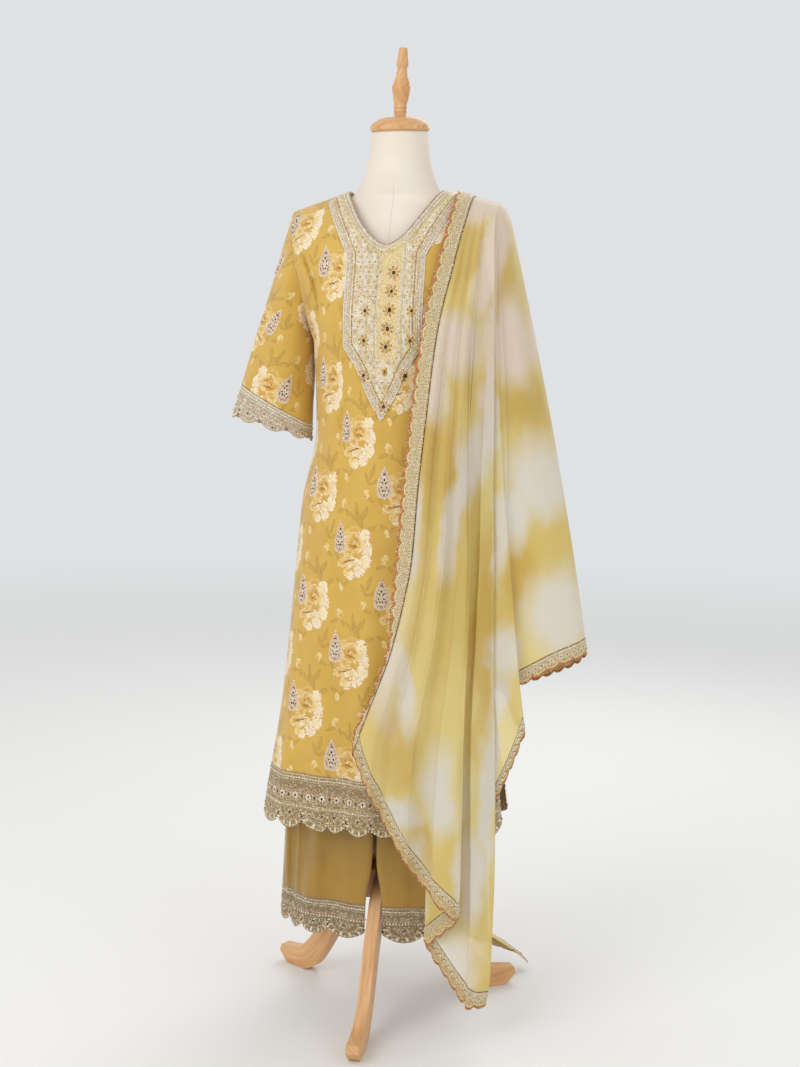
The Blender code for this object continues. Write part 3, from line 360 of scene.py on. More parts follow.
def rounding(drop):
    """Share of the full depth that a shape has reached at this drop below the shoulder's ridge."""
    return np.sqrt(np.clip(1 - (1 - np.clip(drop / SHOULDER_ROUND, 0, 1)) ** 2, 0, 1))


def kameez_depth(x, z, side):
    """How far the kameez stands out in front of the shoulder's plane, or behind it."""
    width = curve(KAMEEZ, "width", z)
    full = curve(KAMEEZ, side, z)
    edge = curve(KAMEEZ, "edge_" + side, z)
    across = np.clip(np.abs(x) / width, 0, 1)
    depth = edge + (full - edge) * (1 - across**2.4) ** 0.6
    if side == "front":
        apart = (np.abs(x) - BUST_HALF_GAP) / 0.055
        depth = depth + 0.010 * np.exp(-(apart**2) - ((z - BUST_HEIGHT) / 0.075) ** 2)
    hang = smooth((1.0 - z) / 0.5) * (1 - across**4)
    wave = np.cos(x * 46 + 0.6) + 0.6 * np.cos(x * 83 + 2.1)
    depth = depth + 0.0045 * hang * wave
    return depth * rounding(shoulder_height(x) - z)


def kameez_x(across, z):
    """Sideways place of a column: straight within the placket, following the side seam beyond it."""
    a = np.abs(across)
    width = curve(KAMEEZ, "width", z)
    outer = PLACKET_HALF + (width - PLACKET_HALF) * (a - PLACKET_SHARE) / (1 - PLACKET_SHARE)
    return np.sign(across) * np.where(a <= PLACKET_SHARE, PLACKET_HALF * a / PLACKET_SHARE, outer)


def kameez_top(across, side):
    """Height of the neckline or shoulder seam at a column."""
    a = np.abs(across)
    neck_share = PLACKET_SHARE + (1 - PLACKET_SHARE) * (NECK_HALF - PLACKET_HALF) / (SHOULDER_HALF - PLACKET_HALF)
    low = V_HEIGHT if side == "front" else BACK_NECK_HEIGHT
    power = V_POWER if side == "front" else 2.5
    neckline = low + (NECK_HEIGHT - low) * (np.clip(a / neck_share, 0, 1)) ** power
    return np.where(a < neck_share, neckline, shoulder_height(kameez_x(across, NECK_HEIGHT)))


def kameez_point(across, z, side, out=0.0):
    """A point of the front or back panel's outer face; out moves it away from the body."""
    x = kameez_x(across, z)
    y = kameez_depth(x, z, side) + SEAM / 2 + out
    return np.stack([x, -y if side == "front" else y, z + 0 * x], axis=-1)


# The front panel's columns, and the heights at which two of its rows cross each of them. The embroidered
# yoke ends on those rows: the upper one bounds its shoulder bands and the lower one its long middle.
Column = namedtuple("Column", "across band placket")
FRONT_COLUMNS = [
    Column(0.000, 1.338, 1.064),
    Column(0.133, 1.340, 1.103),
    Column(0.267, 1.343, 1.155),
    Column(0.400, 1.345, 1.190),
    Column(0.446, 1.362, 1.197),
    Column(0.4836, 1.378, 1.200),
    Column(0.646, 1.446, 1.212),
    Column(0.740, 1.425, 1.212),
    Column(0.830, 1.405, 1.210),
    Column(0.920, 1.385, 1.208),
    Column(1.000, 1.370, 1.205),
]


def both_sides(half):
    """A row of places from 0 to 1, with the same places on the other side before it."""
    half = list(half)
    return np.array([-a for a in half[:0:-1]] + half)


def sleeve_point(share_round, share_up, outer):
    """A point of the wearer's left sleeve. share_round runs from the shoulder to the back, under and forward,
    and share_up is 0 at the hem and 1 at the armhole."""
    turn = 2 * np.pi * share_round
    middle = (SHOULDER_HEIGHT + UNDERARM_HEIGHT) / 2
    half = (SHOULDER_HEIGHT - UNDERARM_HEIGHT) / 2
    z = middle + half * np.cos(turn)
    behind = np.sin(turn) > 0
    edge = np.where(behind, curve(KAMEEZ, "edge_back", z), curve(KAMEEZ, "edge_front", z))
    reach = edge * rounding(shoulder_height(SHOULDER_HALF) - z) + 0.004 * np.abs(np.sin(turn))
    armhole = np.stack([curve(KAMEEZ, "width", z) + 2 * SEAM, np.where(behind, reach, -reach), z], axis=-1)
    middle_x = (SLEEVE_HEM_INNER[0] + outer[0]) / 2
    middle_z = (SLEEVE_HEM_INNER[1] + outer[1]) / 2
    half_x = (outer[0] - SLEEVE_HEM_INNER[0]) / 2
    half_z = (outer[1] - SLEEVE_HEM_INNER[1]) / 2
    hem = np.stack([middle_x + half_x * np.cos(turn), SLEEVE_HEM_DEPTH * np.sin(turn),
                    middle_z + half_z * np.cos(turn)], axis=-1)
    up = np.asarray(share_up, float)[..., None]
    swell = 0.004 * np.sin(np.pi * np.clip(up, 0, 1)) * np.sin(turn)[..., None] * np.array([0, 1, 0])
    return armhole * up + hem * (1 - up) + swell


def trouser_outer(share, z):
    """A point of the wearer's left leg on its open side: front seam, outer side, back seam."""
    turn = np.pi * (share - 0.5)
    inner = curve(TROUSERS, "inner", z)
    width = curve(TROUSERS, "width", z)
    depth = np.where(turn < 0, curve(TROUSERS, "front", z), curve(TROUSERS, "back", z))
    fall = smooth((0.85 - z) / 0.4)
    wave = 0.004 * fall * np.cos(share * 27 + 0.8) * np.sin(np.pi * share) ** 2
    x = inner + (width - inner) * np.abs(np.cos(turn)) ** 0.85 + wave
    y = depth * np.sin(turn) * (1 + 0.035 * fall * np.cos(share * 33))
    return np.stack([x, y, z + 0 * x], axis=-1)


def trouser_inner(share, z):
    """A point of the inseam side, from the back seam to the front, bowed out round the stand's pole."""
    inner = curve(TROUSERS, "inner", z)
    front = trouser_outer(np.zeros(1), np.full(1, z))[0, 1]
    back = trouser_outer(np.ones(1), np.full(1, z))[0, 1]
    y = back + (front - back) * share
    x = inner + 0.019 * np.exp(-((y / 0.034) ** 2)) * np.sin(np.pi * share) ** 0.5
    return np.stack([x, y, z + 0 * x], axis=-1)


HANG_LEVELS = [1.28, 1.24, 1.20, 1.10, 0.95, 0.80, 0.60, 0.45, 0.35]


def fall_depth(x, z, side):
    """Depth of the dupatta's inner face: it lies on the kameez down to the bust, and hangs from there. Away
    from the shoulder it is flatter across than the body is."""
    drop = shoulder_height(x) + RIDGE_LIFT - z
    nearer = x * (1 - FLATTENING * smooth(drop / 0.25))
    depth = kameez_depth(nearer, z - RIDGE_LIFT, side)
    for level in HANG_LEVELS:
        depth = np.maximum(depth, np.where(z < level, kameez_depth(nearer, level + 0 * x, side), 0))
    depth = np.maximum(depth, SLEEVE_COVER * smooth((x - 0.09) / 0.06) * rounding(drop))
    return depth + FALL_CLEARANCE * smooth(drop / 0.03) + FALL_SPREAD * fall_share(z)


def fall_share(z):
    """How far the hanging folds have opened at a height: 0 at the shoulder, 1 low down."""
    return smooth((FALL_TOP - z) / (FALL_TOP - FALL_FULL))


def fall_tables(side):
    """A fall's edges and its folds."""
    return (FALL_EDGES, FRONT_FOLDS) if side == "front" else (BACK_EDGES, BACK_FOLDS)


def fall_point(share, z, side, beyond=0.0):
    """A point of the dupatta's front or back fall. beyond is how far past its inner edge it lies."""
    edges, folds = fall_tables(side)
    t = fall_share(z)
    place = along([f.high for f in folds], share) * (1 - t) + along([f.low for f in folds], share) * t
    out = along([f.out_high for f in folds], share) * (1 - t) + along([f.out_low for f in folds], share) * t
    left = curve(edges, "left", z)
    x = left + (curve(edges, "right", z) - left) * place - beyond
    drop = shoulder_height(x) + RIDGE_LIFT + CHIFFON - z
    y = fall_depth(x, z, side) + out * smooth(drop / 0.15) + SEAM / 2 + CHIFFON * smooth(drop / 0.03)
    if side == "back":
        trail = smooth((TRAIL_HEIGHT - z) / TRAIL_HEIGHT) * smooth((share - 0.5) / 0.4)
        x = x + TRAIL_REACH * trail
        y = y + TRAIL_BACK * trail ** 0.7
    return np.stack([x, -y if side == "front" else y, z + 0 * x], axis=-1)


def fall_hem(share, side):
    """Height of a fall's lower end."""
    return along([f.hem for f in fall_tables(side)[1]], share)


def side_share(z):
    """How far down the stretch over the sleeve a height is: 0 at its top, 1 where it is spread in full."""
    return np.clip((SIDE_TOP - z) / (SIDE_TOP - SIDE_FULL), 0, 1.2)


def side_point(share, z):
    """A point of the dupatta's stretch over the covered sleeve, from behind the front fall round to the back."""
    t = side_share(z)
    low = t ** 1.6
    reach = along([f.high for f in SIDE_FOLDS], share) * (1 - low) + along([f.low for f in SIDE_FOLDS], share) * low
    depth = along([f.depth for f in SIDE_FOLDS], share)
    front = depth < 0
    edge = np.where(front, curve(FALL_EDGES, "right", z), curve(BACK_EDGES, "right", z))
    inner = edge + 0.0008 - TUCK * smooth((1.43 - z) / 0.15)
    outer = 0.1925 + 0.1715 * (t + SIDE_BEND * np.sin(np.pi * t))
    behind = 0.0065 * smooth((1.44 - z) / 0.08) + 0.010 * fall_share(z)
    fall_y = np.where(front, fall_depth(edge, z, "front"), fall_depth(edge, z, "back")) - behind
    ripple = 0.003 * smooth((1.3 - z) / 0.5) * np.sin(share * 24) * np.sin(np.pi * share) ** 2
    x = inner + (outer - inner) * reach + ripple
    y = depth * np.maximum(fall_y, 0) + np.sign(depth) * SEAM / 2
    return np.stack([x, y, z + 0 * x], axis=-1)


def linear(code):
    """Linear colour of an sRGB hex code."""
    values = [int(code[i:i + 2], 16) / 255 for i in (0, 2, 4)]
    return tuple(v / 12.92 if v <= 0.04045 else ((v + 0.055) / 1.055) ** 2.4 for v in values) + (1.0,)


class Num:
    """A number worked out in a material's nodes. Plain arithmetic on it adds the nodes that do it."""

    def __init__(self, tree, socket):
        self.tree, self.socket = tree, socket

    def do(self, operation, *others):
        node = self.tree.nodes.new("ShaderNodeMath")
        node.operation = operation
        for socket, value in zip(node.inputs, (self, *others)):
            feed(self.tree, socket, value)
        return Num(self.tree, node.outputs[0])

    def __add__(self, other):
        return self.do("ADD", other)

    def __sub__(self, other):
        return self.do("SUBTRACT", other)

    def __rsub__(self, other):
        return self.do("MULTIPLY_ADD", -1.0, other)

    def __mul__(self, other):
        return self.do("MULTIPLY", other)

    def __truediv__(self, other):
        return self.do("DIVIDE", other)

    def __abs__(self):
        return self.do("ABSOLUTE")

    __radd__, __rmul__ = __add__, __mul__

    def least(self, other):
        return self.do("MINIMUM", other)

    def most(self, other):
        return self.do("MAXIMUM", other)

    def power(self, other):
        return self.do("POWER", other)

    def sine(self, turns):
        """Sine of this many turns."""
        return (self * (2 * math.pi * turns)).do("SINE")

    def wrapped(self, pitch):
        """The number brought into half a pitch on either side of zero."""
        return self.do("WRAP", pitch / 2, -pitch / 2)

    def step(self, start, end):
        """0 before start and 1 after end, smoothly between them; start may be the larger."""
        node = self.tree.nodes.new("ShaderNodeMapRange")
        node.interpolation_type = "SMOOTHSTEP"
        feed(self.tree, node.inputs["Value"], self)
        low, high, at_low, at_high = (start, end, 0.0, 1.0) if start < end else (end, start, 1.0, 0.0)
        node.inputs["From Min"].default_value = low
        node.inputs["From Max"].default_value = high
        node.inputs["To Min"].default_value = at_low
        node.inputs["To Max"].default_value = at_high
        return Num(self.tree, node.outputs["Result"])


def feed(tree, socket, value):
    """Links a worked-out value to a socket, or sets a plain one on it."""
    if isinstance(value, Num):
        tree.links.new(value.socket, socket)
    elif isinstance(value, bpy.types.NodeSocket):
        tree.links.new(value, socket)
    else:
        socket.default_value = value


class Paint:
    """One material and the nodes that it is made of."""

    def __init__(self, name, roughness=0.6, specular=0.35, sheen=0.0, metallic=0.0):
        self.material = bpy.data.materials.new(name)
        self.material.use_nodes = True
        self.tree = self.material.node_tree
        self.shader = self.tree.nodes["Principled BSDF"]
        self.set("Roughness", roughness)
        self.set("Specular IOR Level", specular)
        self.set("Sheen Weight", sheen)
        self.set("Metallic", metallic)

    def set(self, name, value):
        feed(self.tree, self.shader.inputs[name], value)

    def node(self, kind, **inputs):
        made = self.tree.nodes.new(kind)
        for name, value in inputs.items():
            feed(self.tree, made.inputs[name.replace("_", " ")], value)
        return made

    def cloth(self, layer="cloth"):
        """The place on the cloth, in metres."""
        made = self.node("ShaderNodeUVMap")
        made.uv_map = layer
        return made.outputs["UV"]

    def object(self):
        return self.node("ShaderNodeTexCoord").outputs["Object"]

    def parts(self, vector):
        split = self.node("ShaderNodeSeparateXYZ", Vector=vector)
        return [Num(self.tree, split.outputs[k]) for k in range(3)]

    def vector(self, x, y):
        return self.node("ShaderNodeCombineXYZ", X=x, Y=y).outputs[0]

    def vector_math(self, operation, a, *others):
        made = self.node("ShaderNodeVectorMath")
        made.operation = operation
        for socket, value in zip(made.inputs, (a, *others)):
            feed(self.tree, socket, value)
        return made.outputs["Value" if operation == "LENGTH" else "Vector"]

    def placed(self, vector, x, y, angle, size_x, size_y):
        """The vector as seen from a spot that is turned and scaled."""
        made = self.node("ShaderNodeMapping", Vector=vector)
        made.vector_type = "TEXTURE"
        made.inputs["Location"].default_value = (x, y, 0)
        made.inputs["Rotation"].default_value = (0, 0, math.radians(angle))
        made.inputs["Scale"].default_value = (size_x, size_y, 1)
        return made.outputs["Vector"]

    def length(self, vector):
        return Num(self.tree, self.vector_math("LENGTH", vector))

    def noise(self, vector, scale, detail, roughness=0.5, stretch=None):
        if stretch:
            vector = self.vector_math("MULTIPLY", vector, stretch)
        return self.node("ShaderNodeTexNoise", Vector=vector, Scale=scale, Detail=detail, Roughness=roughness)

    def number(self, node, name="Fac"):
        return Num(self.tree, node.outputs[name])

    def cells(self, vector, scale, randomness=1.0, kind="F1"):
        made = self.node("ShaderNodeTexVoronoi", Vector=vector, Scale=scale, Randomness=randomness)
        made.feature = kind
        return made

    def mix(self, share, a, b):
        made = self.tree.nodes.new("ShaderNodeMix")
        made.data_type = "RGBA"
        feed(self.tree, made.inputs[0], share)
        feed(self.tree, made.inputs[6], a)
        feed(self.tree, made.inputs[7], b)
        return made.outputs[2]

    def ramp(self, share, *stops):
        made = self.node("ShaderNodeValToRGB", Fac=share)
        band = made.color_ramp
        while len(band.elements) < len(stops):
            band.elements.new(0.5)
        for element, (place, colour) in zip(band.elements, stops):
            element.position = place
            element.color = colour
        return made.outputs["Color"]

    def bump(self, height, distance, strength):
        return self.node("ShaderNodeBump", Height=height, Distance=distance, Strength=strength).outputs["Normal"]

    def blend(self, share, shader, other):
        """A shader mixed with this share of another."""
        made = self.tree.nodes.new("ShaderNodeMixShader")
        for socket, value in zip(made.inputs, (share, shader, other)):
            feed(self.tree, socket, value)
        return made.outputs[0]

    def show(self, shader):
        """Makes this shader the material's surface, in place of the principled one."""
        output = next(n for n in self.tree.nodes if n.type == "OUTPUT_MATERIAL")
        self.tree.links.new(shader, output.inputs["Surface"])
        return self.material


# The print. Its cluster of a rose, buds and leaves repeats down every column, half a pitch lower in the next one.
COLUMN_PITCH = 0.088
ROW_PITCH = 0.190
ROSE_AT = (-0.047, 0.583)

COLOURS = {
    "ground": linear("d5ae50"), "shade": linear("c79b42"), "white": linear("f3e6cb"), "cream": linear("ecd7a0"),
    "sand": linear("dfbd70"), "gold": linear("cf9a3c"), "brown": linear("9f6d22"), "olive": linear("9a752c"),
    "leaf": linear("c69f4b"), "blush": linear("ecd2b4"),
}

# Petals of the print's cluster, in millimetres from the rose's middle, painted in this order.
Petal = namedtuple("Petal", "x y angle long wide rim base")
PETALS = [
    Petal(1, 37, 95, 10, 17, "sand", "gold"),
    Petal(-15, 30, 130, 13, 11, "sand", "sand"),
    Petal(-22, 12, 165, 12, 13, "cream", "sand"),
    Petal(21, 27, 62, 17, 13, "white", "cream"),
    Petal(28, 7, 5, 11, 17, "white", "blush"),
    Petal(24, -15, -40, 13, 15, "white", "cream"),
    Petal(14, -31, -70, 11, 12, "white", "blush"),
    Petal(-6, -38, -100, 9, 11, "white", "cream"),
    Petal(-13, -31, -120, 12, 7, "cream", "sand"),
    Petal(-22, -17, -160, 14, 9, "cream", "gold"),
    Petal(3, -18, -95, 11, 17, "white", "sand"),
    Petal(14, 12, 40, 14, 10, "cream", "sand"),
    Petal(-10, 0, -170, 14, 10, "cream", "gold"),
    Petal(-12, 20, 150, 12, 9, "cream", "gold"),
    Petal(1, 30, 95, 7, 12, "cream", "gold"),
    Petal(1, 17, 10, 14, 11, "gold", "brown"),
    Petal(-3, 20, 30, 7, 6, "sand", "brown"),
    Petal(5, 15, -20, 8, 5, "cream", "gold"),
    Petal(3, 12, -15, 9, 1.5, "brown", "brown"),
    Petal(-9, -14, 14, 15, 1.7, "brown", "brown"),
    Petal(9, -5, -24, 12, 1.2, "gold", "gold"),
    Petal(-4, -27, 30, 10, 1.2, "gold", "gold"),
    Petal(-26, 84, 100, 10, 7, "cream", "sand"),
    Petal(-22, 80, 60, 7, 5, "sand", "gold"),
    Petal(24, 101, 75, 9, 6, "cream", "sand"),
    Petal(21, 97, 110, 6, 4, "sand", "gold"),
    Petal(-25, -60, -75, 8, 4.5, "cream", "sand"),
]
Leaf = namedtuple("Leaf", "x y angle long wide")
LEAVES = [
    Leaf(12, 58, 115, 17, 5), Leaf(22, 68, 60, 13, 4.5), Leaf(36, 42, 25, 14, 4), Leaf(-34, 72, 200, 10, 3.5),
    Leaf(-18, 70, -60, 9, 3), Leaf(32, 92, -30, 9, 3), Leaf(-30, -50, 150, 9, 3), Leaf(-17, -55, 40, 9, 3),
    Leaf(35, -50, 75, 14, 3.6), Leaf(25, -62, 115, 12, 3.4), Leaf(38, -68, 30, 9, 3), Leaf(-38, -4, 110, 10, 3.4),
    Leaf(4, 74, 92, 15, 3.4), Leaf(-3, 62, 140, 12, 3.2),
]

# The beaded drop beside each rose: its middle from the rose's, half its width and half its height, in metres.
DROP = (-0.032, 0.026, 0.0145, 0.0275)


def weave(paint, place, strength=0.25):
    """Fine plain weave as a normal."""
    x, y, _ = paint.parts(place)
    threads = x.sine(1 / 0.0008) * y.sine(1 / 0.0008)
    return paint.bump((threads + 1) * 0.5, 0.0002, strength)


def printed_silk():
    """The kameez's printed silk: its ground, the clusters of flowers and leaves, and the drops' pale ground."""
    paint = Paint("printed_silk", roughness=0.52, specular=0.3, sheen=0.25)
    place = paint.cloth()
    x, y, _ = paint.parts(place)
    column = (x - ROSE_AT[0]) / COLUMN_PITCH
    whole = (column + 0.5).do("FLOOR")
    lower = whole.do("FLOORED_MODULO", 2.0) * (ROW_PITCH / 2)
    across = (column - whole) * (COLUMN_PITCH * 1000)
    up = ((y - ROSE_AT[1]) - lower).wrapped(ROW_PITCH) * 1000
    up = (up - 20).wrapped(ROW_PITCH * 1000) + 20
    cluster = paint.vector(across, up)
    wobble = paint.noise(place, 170, detail=3)
    wobble = paint.vector_math("SUBTRACT", wobble.outputs["Color"], (0.5, 0.5, 0.5))
    wobble = paint.vector_math("SCALE", wobble, (0, 0, 0))
    wobble.node.inputs["Scale"].default_value = 6.0
    cluster = paint.vector_math("ADD", cluster, wobble)
    tone = paint.number(paint.noise(place, 16, detail=3)).step(0.3, 0.75)
    colour = paint.mix(tone * 0.5, COLOURS["ground"], COLOURS["shade"])
    for leaf in LEAVES:
        lx, ly, _ = paint.parts(paint.placed(cluster, leaf.x, leaf.y, leaf.angle, leaf.long, leaf.wide))
        side = abs(ly)
        body = side + lx * lx
        colour = paint.mix(body.step(1.05, 0.9) * 0.7, colour, COLOURS["leaf"])
        rim = body.step(0.72, 0.95) * body.step(1.12, 1.0)
        colour = paint.mix(rim.most(side.step(0.16, 0.05) * body.step(1.0, 0.9)) * 0.62, colour, COLOURS["olive"])
    for petal in PETALS:
        away = paint.length(paint.placed(cluster, petal.x, petal.y, petal.angle, petal.long, petal.wide))
        colour = paint.mix(away.step(1.22, 1.0) * 0.55, colour, COLOURS["gold"])
        body = paint.mix(away.step(0.25, 1.0), COLOURS[petal.base], COLOURS[petal.rim])
        colour = paint.mix(away.step(1.05, 0.93), colour, body)
    dx, dy, _ = paint.parts(cluster)
    share = ((dy - DROP[1] * 1000) * (1 / (DROP[3] * 1000))).do("MULTIPLY_ADD", -0.5, 0.5)
    half = share.most(0.0) * (1 - share).most(0.0).power(0.40) * 2.3
    net = abs(dx - DROP[0] * 1000) * (1 / (DROP[2] * 1000)) - half
    colour = paint.mix(net.step(0.03, -0.05), colour, linear("d8c3a6"))
    streaks = paint.number(paint.noise(place, 420, detail=2))
    colour = paint.mix(streaks.step(0.35, 0.7) * 0.06, colour, COLOURS["brown"])
    paint.set("Base Color", colour)
    paint.set("Normal", weave(paint, place))
    return paint.material


def soft_silk():
    """Plain mustard silk of the trousers, with slubs along the thread."""
    paint = Paint("mustard_silk", roughness=0.42, specular=0.45, sheen=0.3)
    place = paint.cloth()
    slub = paint.number(paint.noise(place, 1.0, detail=4, stretch=(60, 900, 1)))
    tone = paint.number(paint.noise(place, 9, detail=2))
    colour = paint.mix(tone.step(0.3, 0.7) * 0.6, linear("a8812c"), linear("8c6a28"))
    colour = paint.mix(slub.step(0.55, 0.75) * 0.25, colour, linear("b28f43"))
    paint.set("Base Color", colour)
    paint.set("Normal", weave(paint, place, 0.2))
    return paint.material


class Relief:
    """A border's embroidery: a height and a colour built up from rows of dots, rings and lines."""

    def __init__(self, paint, ground):
        self.paint = paint
        self.place = paint.cloth()
        self.along, self.down, _ = paint.parts(self.place)
        self.edge, self.phase, _ = paint.parts(paint.cloth("border"))
        self.colour = ground
        self.height = None

    def lay(self, mask, colour, lift=1.0):
        self.colour = self.paint.mix(mask, self.colour, colour)
        raised = mask * lift
        self.height = raised if self.height is None else self.height.most(raised)

    def band(self, start, end, value=None):
        """A line from start to end with soft edges, down the cloth or along another value."""
        value = self.down if value is None else value
        soft = 0.0004
        return value.step(start - soft, start + soft) * value.step(end + soft, end - soft)

    def spot(self, down, pitch, shift=0.0):
        """The place relative to the nearest middle of a row that repeats at the pitch."""
        return self.paint.vector((self.along + shift).wrapped(pitch), self.down - down)

    def dots(self, down, pitch, radius, colour, shift=0.0):
        away = self.paint.length(self.spot(down, pitch, shift))
        self.lay(away.step(radius * 1.1, radius * 0.8), colour)

    def rings(self, down, pitch, radius, width, colour, shift=0.0):
        near = abs(self.paint.length(self.spot(down, pitch, shift)) - radius)
        self.lay(near.step(width, width * 0.4), colour, 0.8)

    def petals(self, down, pitch, count, radius, colour):
        """A round flower of petals at every pitch."""
        spot = self.spot(down, pitch)
        x, y, _ = self.paint.parts(spot)
        away = self.paint.length(spot)
        lobes = (y.do("ARCTAN2", x) * count).do("COSINE")
        rim = away / radius - lobes * 0.28
        self.lay(rim.step(0.85, 0.62) * away.step(radius * 0.22, radius * 0.34), colour)

    def finish(self, distance=0.0012):
        paint = self.paint
        grain = paint.cells(self.place, 620, 0.9)
        seed = paint.number(grain, "Distance")
        pick = Num(paint.tree, paint.node("ShaderNodeSeparateColor", Color=grain.outputs["Color"]).outputs[0])
        # Painted highlights: a few random grains are painted near white as glints.
        painted_glint = pick.step(0.86, 0.92)
        self.colour = paint.mix(painted_glint * 0.7, self.colour, linear("fff6e4"))
        # Painted shade: each grain is painted darker out towards its edge, where the bump sinks between the grains.
        self.colour = paint.mix(seed.step(0.35, 0.75) * 0.35, self.colour, linear("6e5230"))
        height = self.height + (1 - seed) * 0.35
        paint.set("Base Color", self.colour)
        paint.set("Roughness", 0.45)
        paint.set("Normal", paint.bump(height, distance, 0.9))
        return paint.material


ROSE_THREAD, PALE_GOLD, DARK_THREAD = linear("cfae9c"), linear("ead7a4"), linear("4a3a20")
RUST, MIRROR = linear("c0742c"), linear("2e2a24")


def border(name, tall, scallop, shells, ground, piping, pale):
    """A wide scalloped border: bead rows, a scroll band, and a shell in each scallop. tall is its depth."""
    paint = Paint(name, specular=0.5)
    relief = Relief(paint, ground)
    filling = paint.number(paint.cells(paint.cloth(), 230, kind="DISTANCE_TO_EDGE"), "Distance")
    relief.lay(filling.step(0.12, 0.05) * 0.75, pale)
    relief.lay(relief.band(0.0, 0.0035), pale)
    relief.dots(FIRST_ROW, BEAD_PITCH, 0.0020, pale)
    relief.lay(relief.band(0.0110, 0.0128), pale)
    top, low = STRIPE_TOP, tall - shells
    if low - top > 0.03:
        middle = (top + low) / 2
        relief.rings(middle, FLOWER_PITCH, 0.0095, 0.0012, pale)
        relief.petals(middle, FLOWER_PITCH, 6, 0.0065, linear("efe2cf"))
        relief.rings(middle - 0.009, FLOWER_PITCH, 0.0050, 0.0010, ROSE_THREAD, FLOWER_PITCH / 2)
        relief.rings(middle + 0.010, FLOWER_PITCH, 0.0045, 0.0010, pale, FLOWER_PITCH / 2)
        relief.dots(middle, FLOWER_PITCH, 0.0015, MIRROR)
        relief.dots(middle, FLOWER_PITCH, 0.0012, MIRROR, FLOWER_PITCH / 2)
        relief.lay(relief.band(low - 0.0085, low - 0.0070), pale)
        relief.dots(low - LAST_ROW, BEAD_PITCH, 0.0019, pale)
        relief.lay(relief.band(low - 0.0020, low - 0.0008), pale)
    else:
        relief.rings((top + low) / 2, RING_PITCH, 0.0042, 0.0010, pale)
        relief.dots((top + low) / 2, RING_PITCH, 0.0016, linear("f2e8d8"))
    x = (relief.phase - relief.phase.do("FLOOR") - 0.5) * scallop
    y = relief.down - low - 0.002
    away = paint.length(paint.vector(x, y * 0.9))
    inside = relief.down.step(low, low + 0.001)
    reach = shells * 1.02
    for share, width in ((0.30, 0.0011), (0.52, 0.0011), (0.74, 0.0013), (0.90, 0.0010)):
        near = abs(away - reach * share)
        relief.lay(near.step(width, width * 0.4) * inside, pale, 0.9)
    spokes = (y.do("ARCTAN2", x) * 13).do("COSINE")
    fan = spokes.step(0.55, 0.8) * away.step(reach * 0.52, reach * 0.56) * away.step(reach * 0.74, reach * 0.70)
    relief.lay(fan * inside, linear("efe0c6"), 0.8)
    edge = relief.edge
    relief.lay(edge.step(0.0030, 0.0022), pale)
    relief.lay(edge.step(0.0014, 0.0009), piping, 0.9)
    return relief.finish()


def lace():
    """The dupatta's lace: a dark sewn line, a row of beads, flowers, arcs, and a rust-coloured scalloped edge."""
    paint = Paint("dupatta_lace", specular=0.5)
    relief = Relief(paint, linear("cdae70"))
    relief.rings(0.0125, LACE_FLOWER_PITCH, 0.0052, 0.0010, PALE_GOLD)
    relief.petals(0.0125, LACE_FLOWER_PITCH, 6, 0.0040, linear("f4e8cc"))
    relief.rings(0.0195, LACE_FLOWER_PITCH, 0.0036, 0.0009, PALE_GOLD, LACE_FLOWER_PITCH / 2)
    relief.dots(0.0125, LACE_FLOWER_PITCH, 0.0010, MIRROR)
    relief.dots(LACE_ROW, LACE_BEAD_PITCH, 0.0016, linear("f6ead0"))
    relief.lay(relief.band(0.0068, 0.0080), PALE_GOLD)
    relief.lay(relief.edge.step(0.0082, 0.0074) * relief.edge.step(0.0052, 0.0060), PALE_GOLD, 0.9)
    relief.lay(relief.edge.step(0.0046, 0.0038), RUST, 0.8)
    relief.lay(relief.band(-0.001, 0.0014), DARK_THREAD, 0.6)
    return relief.finish()


def yoke_net():
    """Ground of the yoke: pale net in long stripes, with bead lines that follow its neckline and its outer edge."""
    paint = Paint("yoke_net", specular=0.5)
    relief = Relief(paint, linear("e2d0a6"))
    x = relief.along
    z = relief.down
    outer, neck = relief.edge, relief.phase
    blotch = paint.number(paint.noise(relief.place, 46, detail=2))
    relief.colour = paint.mix(blotch.step(0.45, 0.6) * 0.75, relief.colour, linear("f0ebe0"))
    green = paint.number(paint.noise(relief.place, 60, detail=2))
    relief.colour = paint.mix(green.step(0.56, 0.66) * 0.5, relief.colour, linear("d2cb84"))
    rim = outer.step(0.0135, 0.0120).most(neck.step(0.0135, 0.0120))
    relief.colour = paint.mix(rim, relief.colour, linear("ccb58c"))
    middle = abs(x - 0.010)
    column = middle.step(0.0190, 0.0185) * z.step(1.165, 1.172)
    relief.colour = paint.mix(column, relief.colour, linear("e6cc8e"))
    for place in (0.0205, 0.0255, 0.0400):
        near = abs(middle - place)
        relief.lay(near.step(0.0011, 0.0006) * z.step(1.150, 1.160), linear("efe4d4"))
    for place in (0.0230, 0.0365):
        near = abs(middle - place)
        relief.lay(near.step(0.0014, 0.0008) * z.step(1.160, 1.170), linear("d8cc74"), 0.6)
    for value, start, end, colour, lift in (
        (neck, 0.0, 0.0016, "a58f86", 0.9), (neck, 0.0035, 0.0062, "efe6da", 1.0),
        (neck, 0.0090, 0.0115, "efe6da", 1.0), (neck, 0.0135, 0.0160, "d6c870", 0.6),
        (outer, 0.0, 0.0022, "f0e6d6", 1.0), (outer, 0.0050, 0.0070, "efe4d0", 1.0),
        (outer, 0.0150, 0.0168, "a8935c", 0.9),
    ):
        relief.lay(relief.band(start, end, value=value), linear(colour), lift)
    return relief.finish(0.0010)


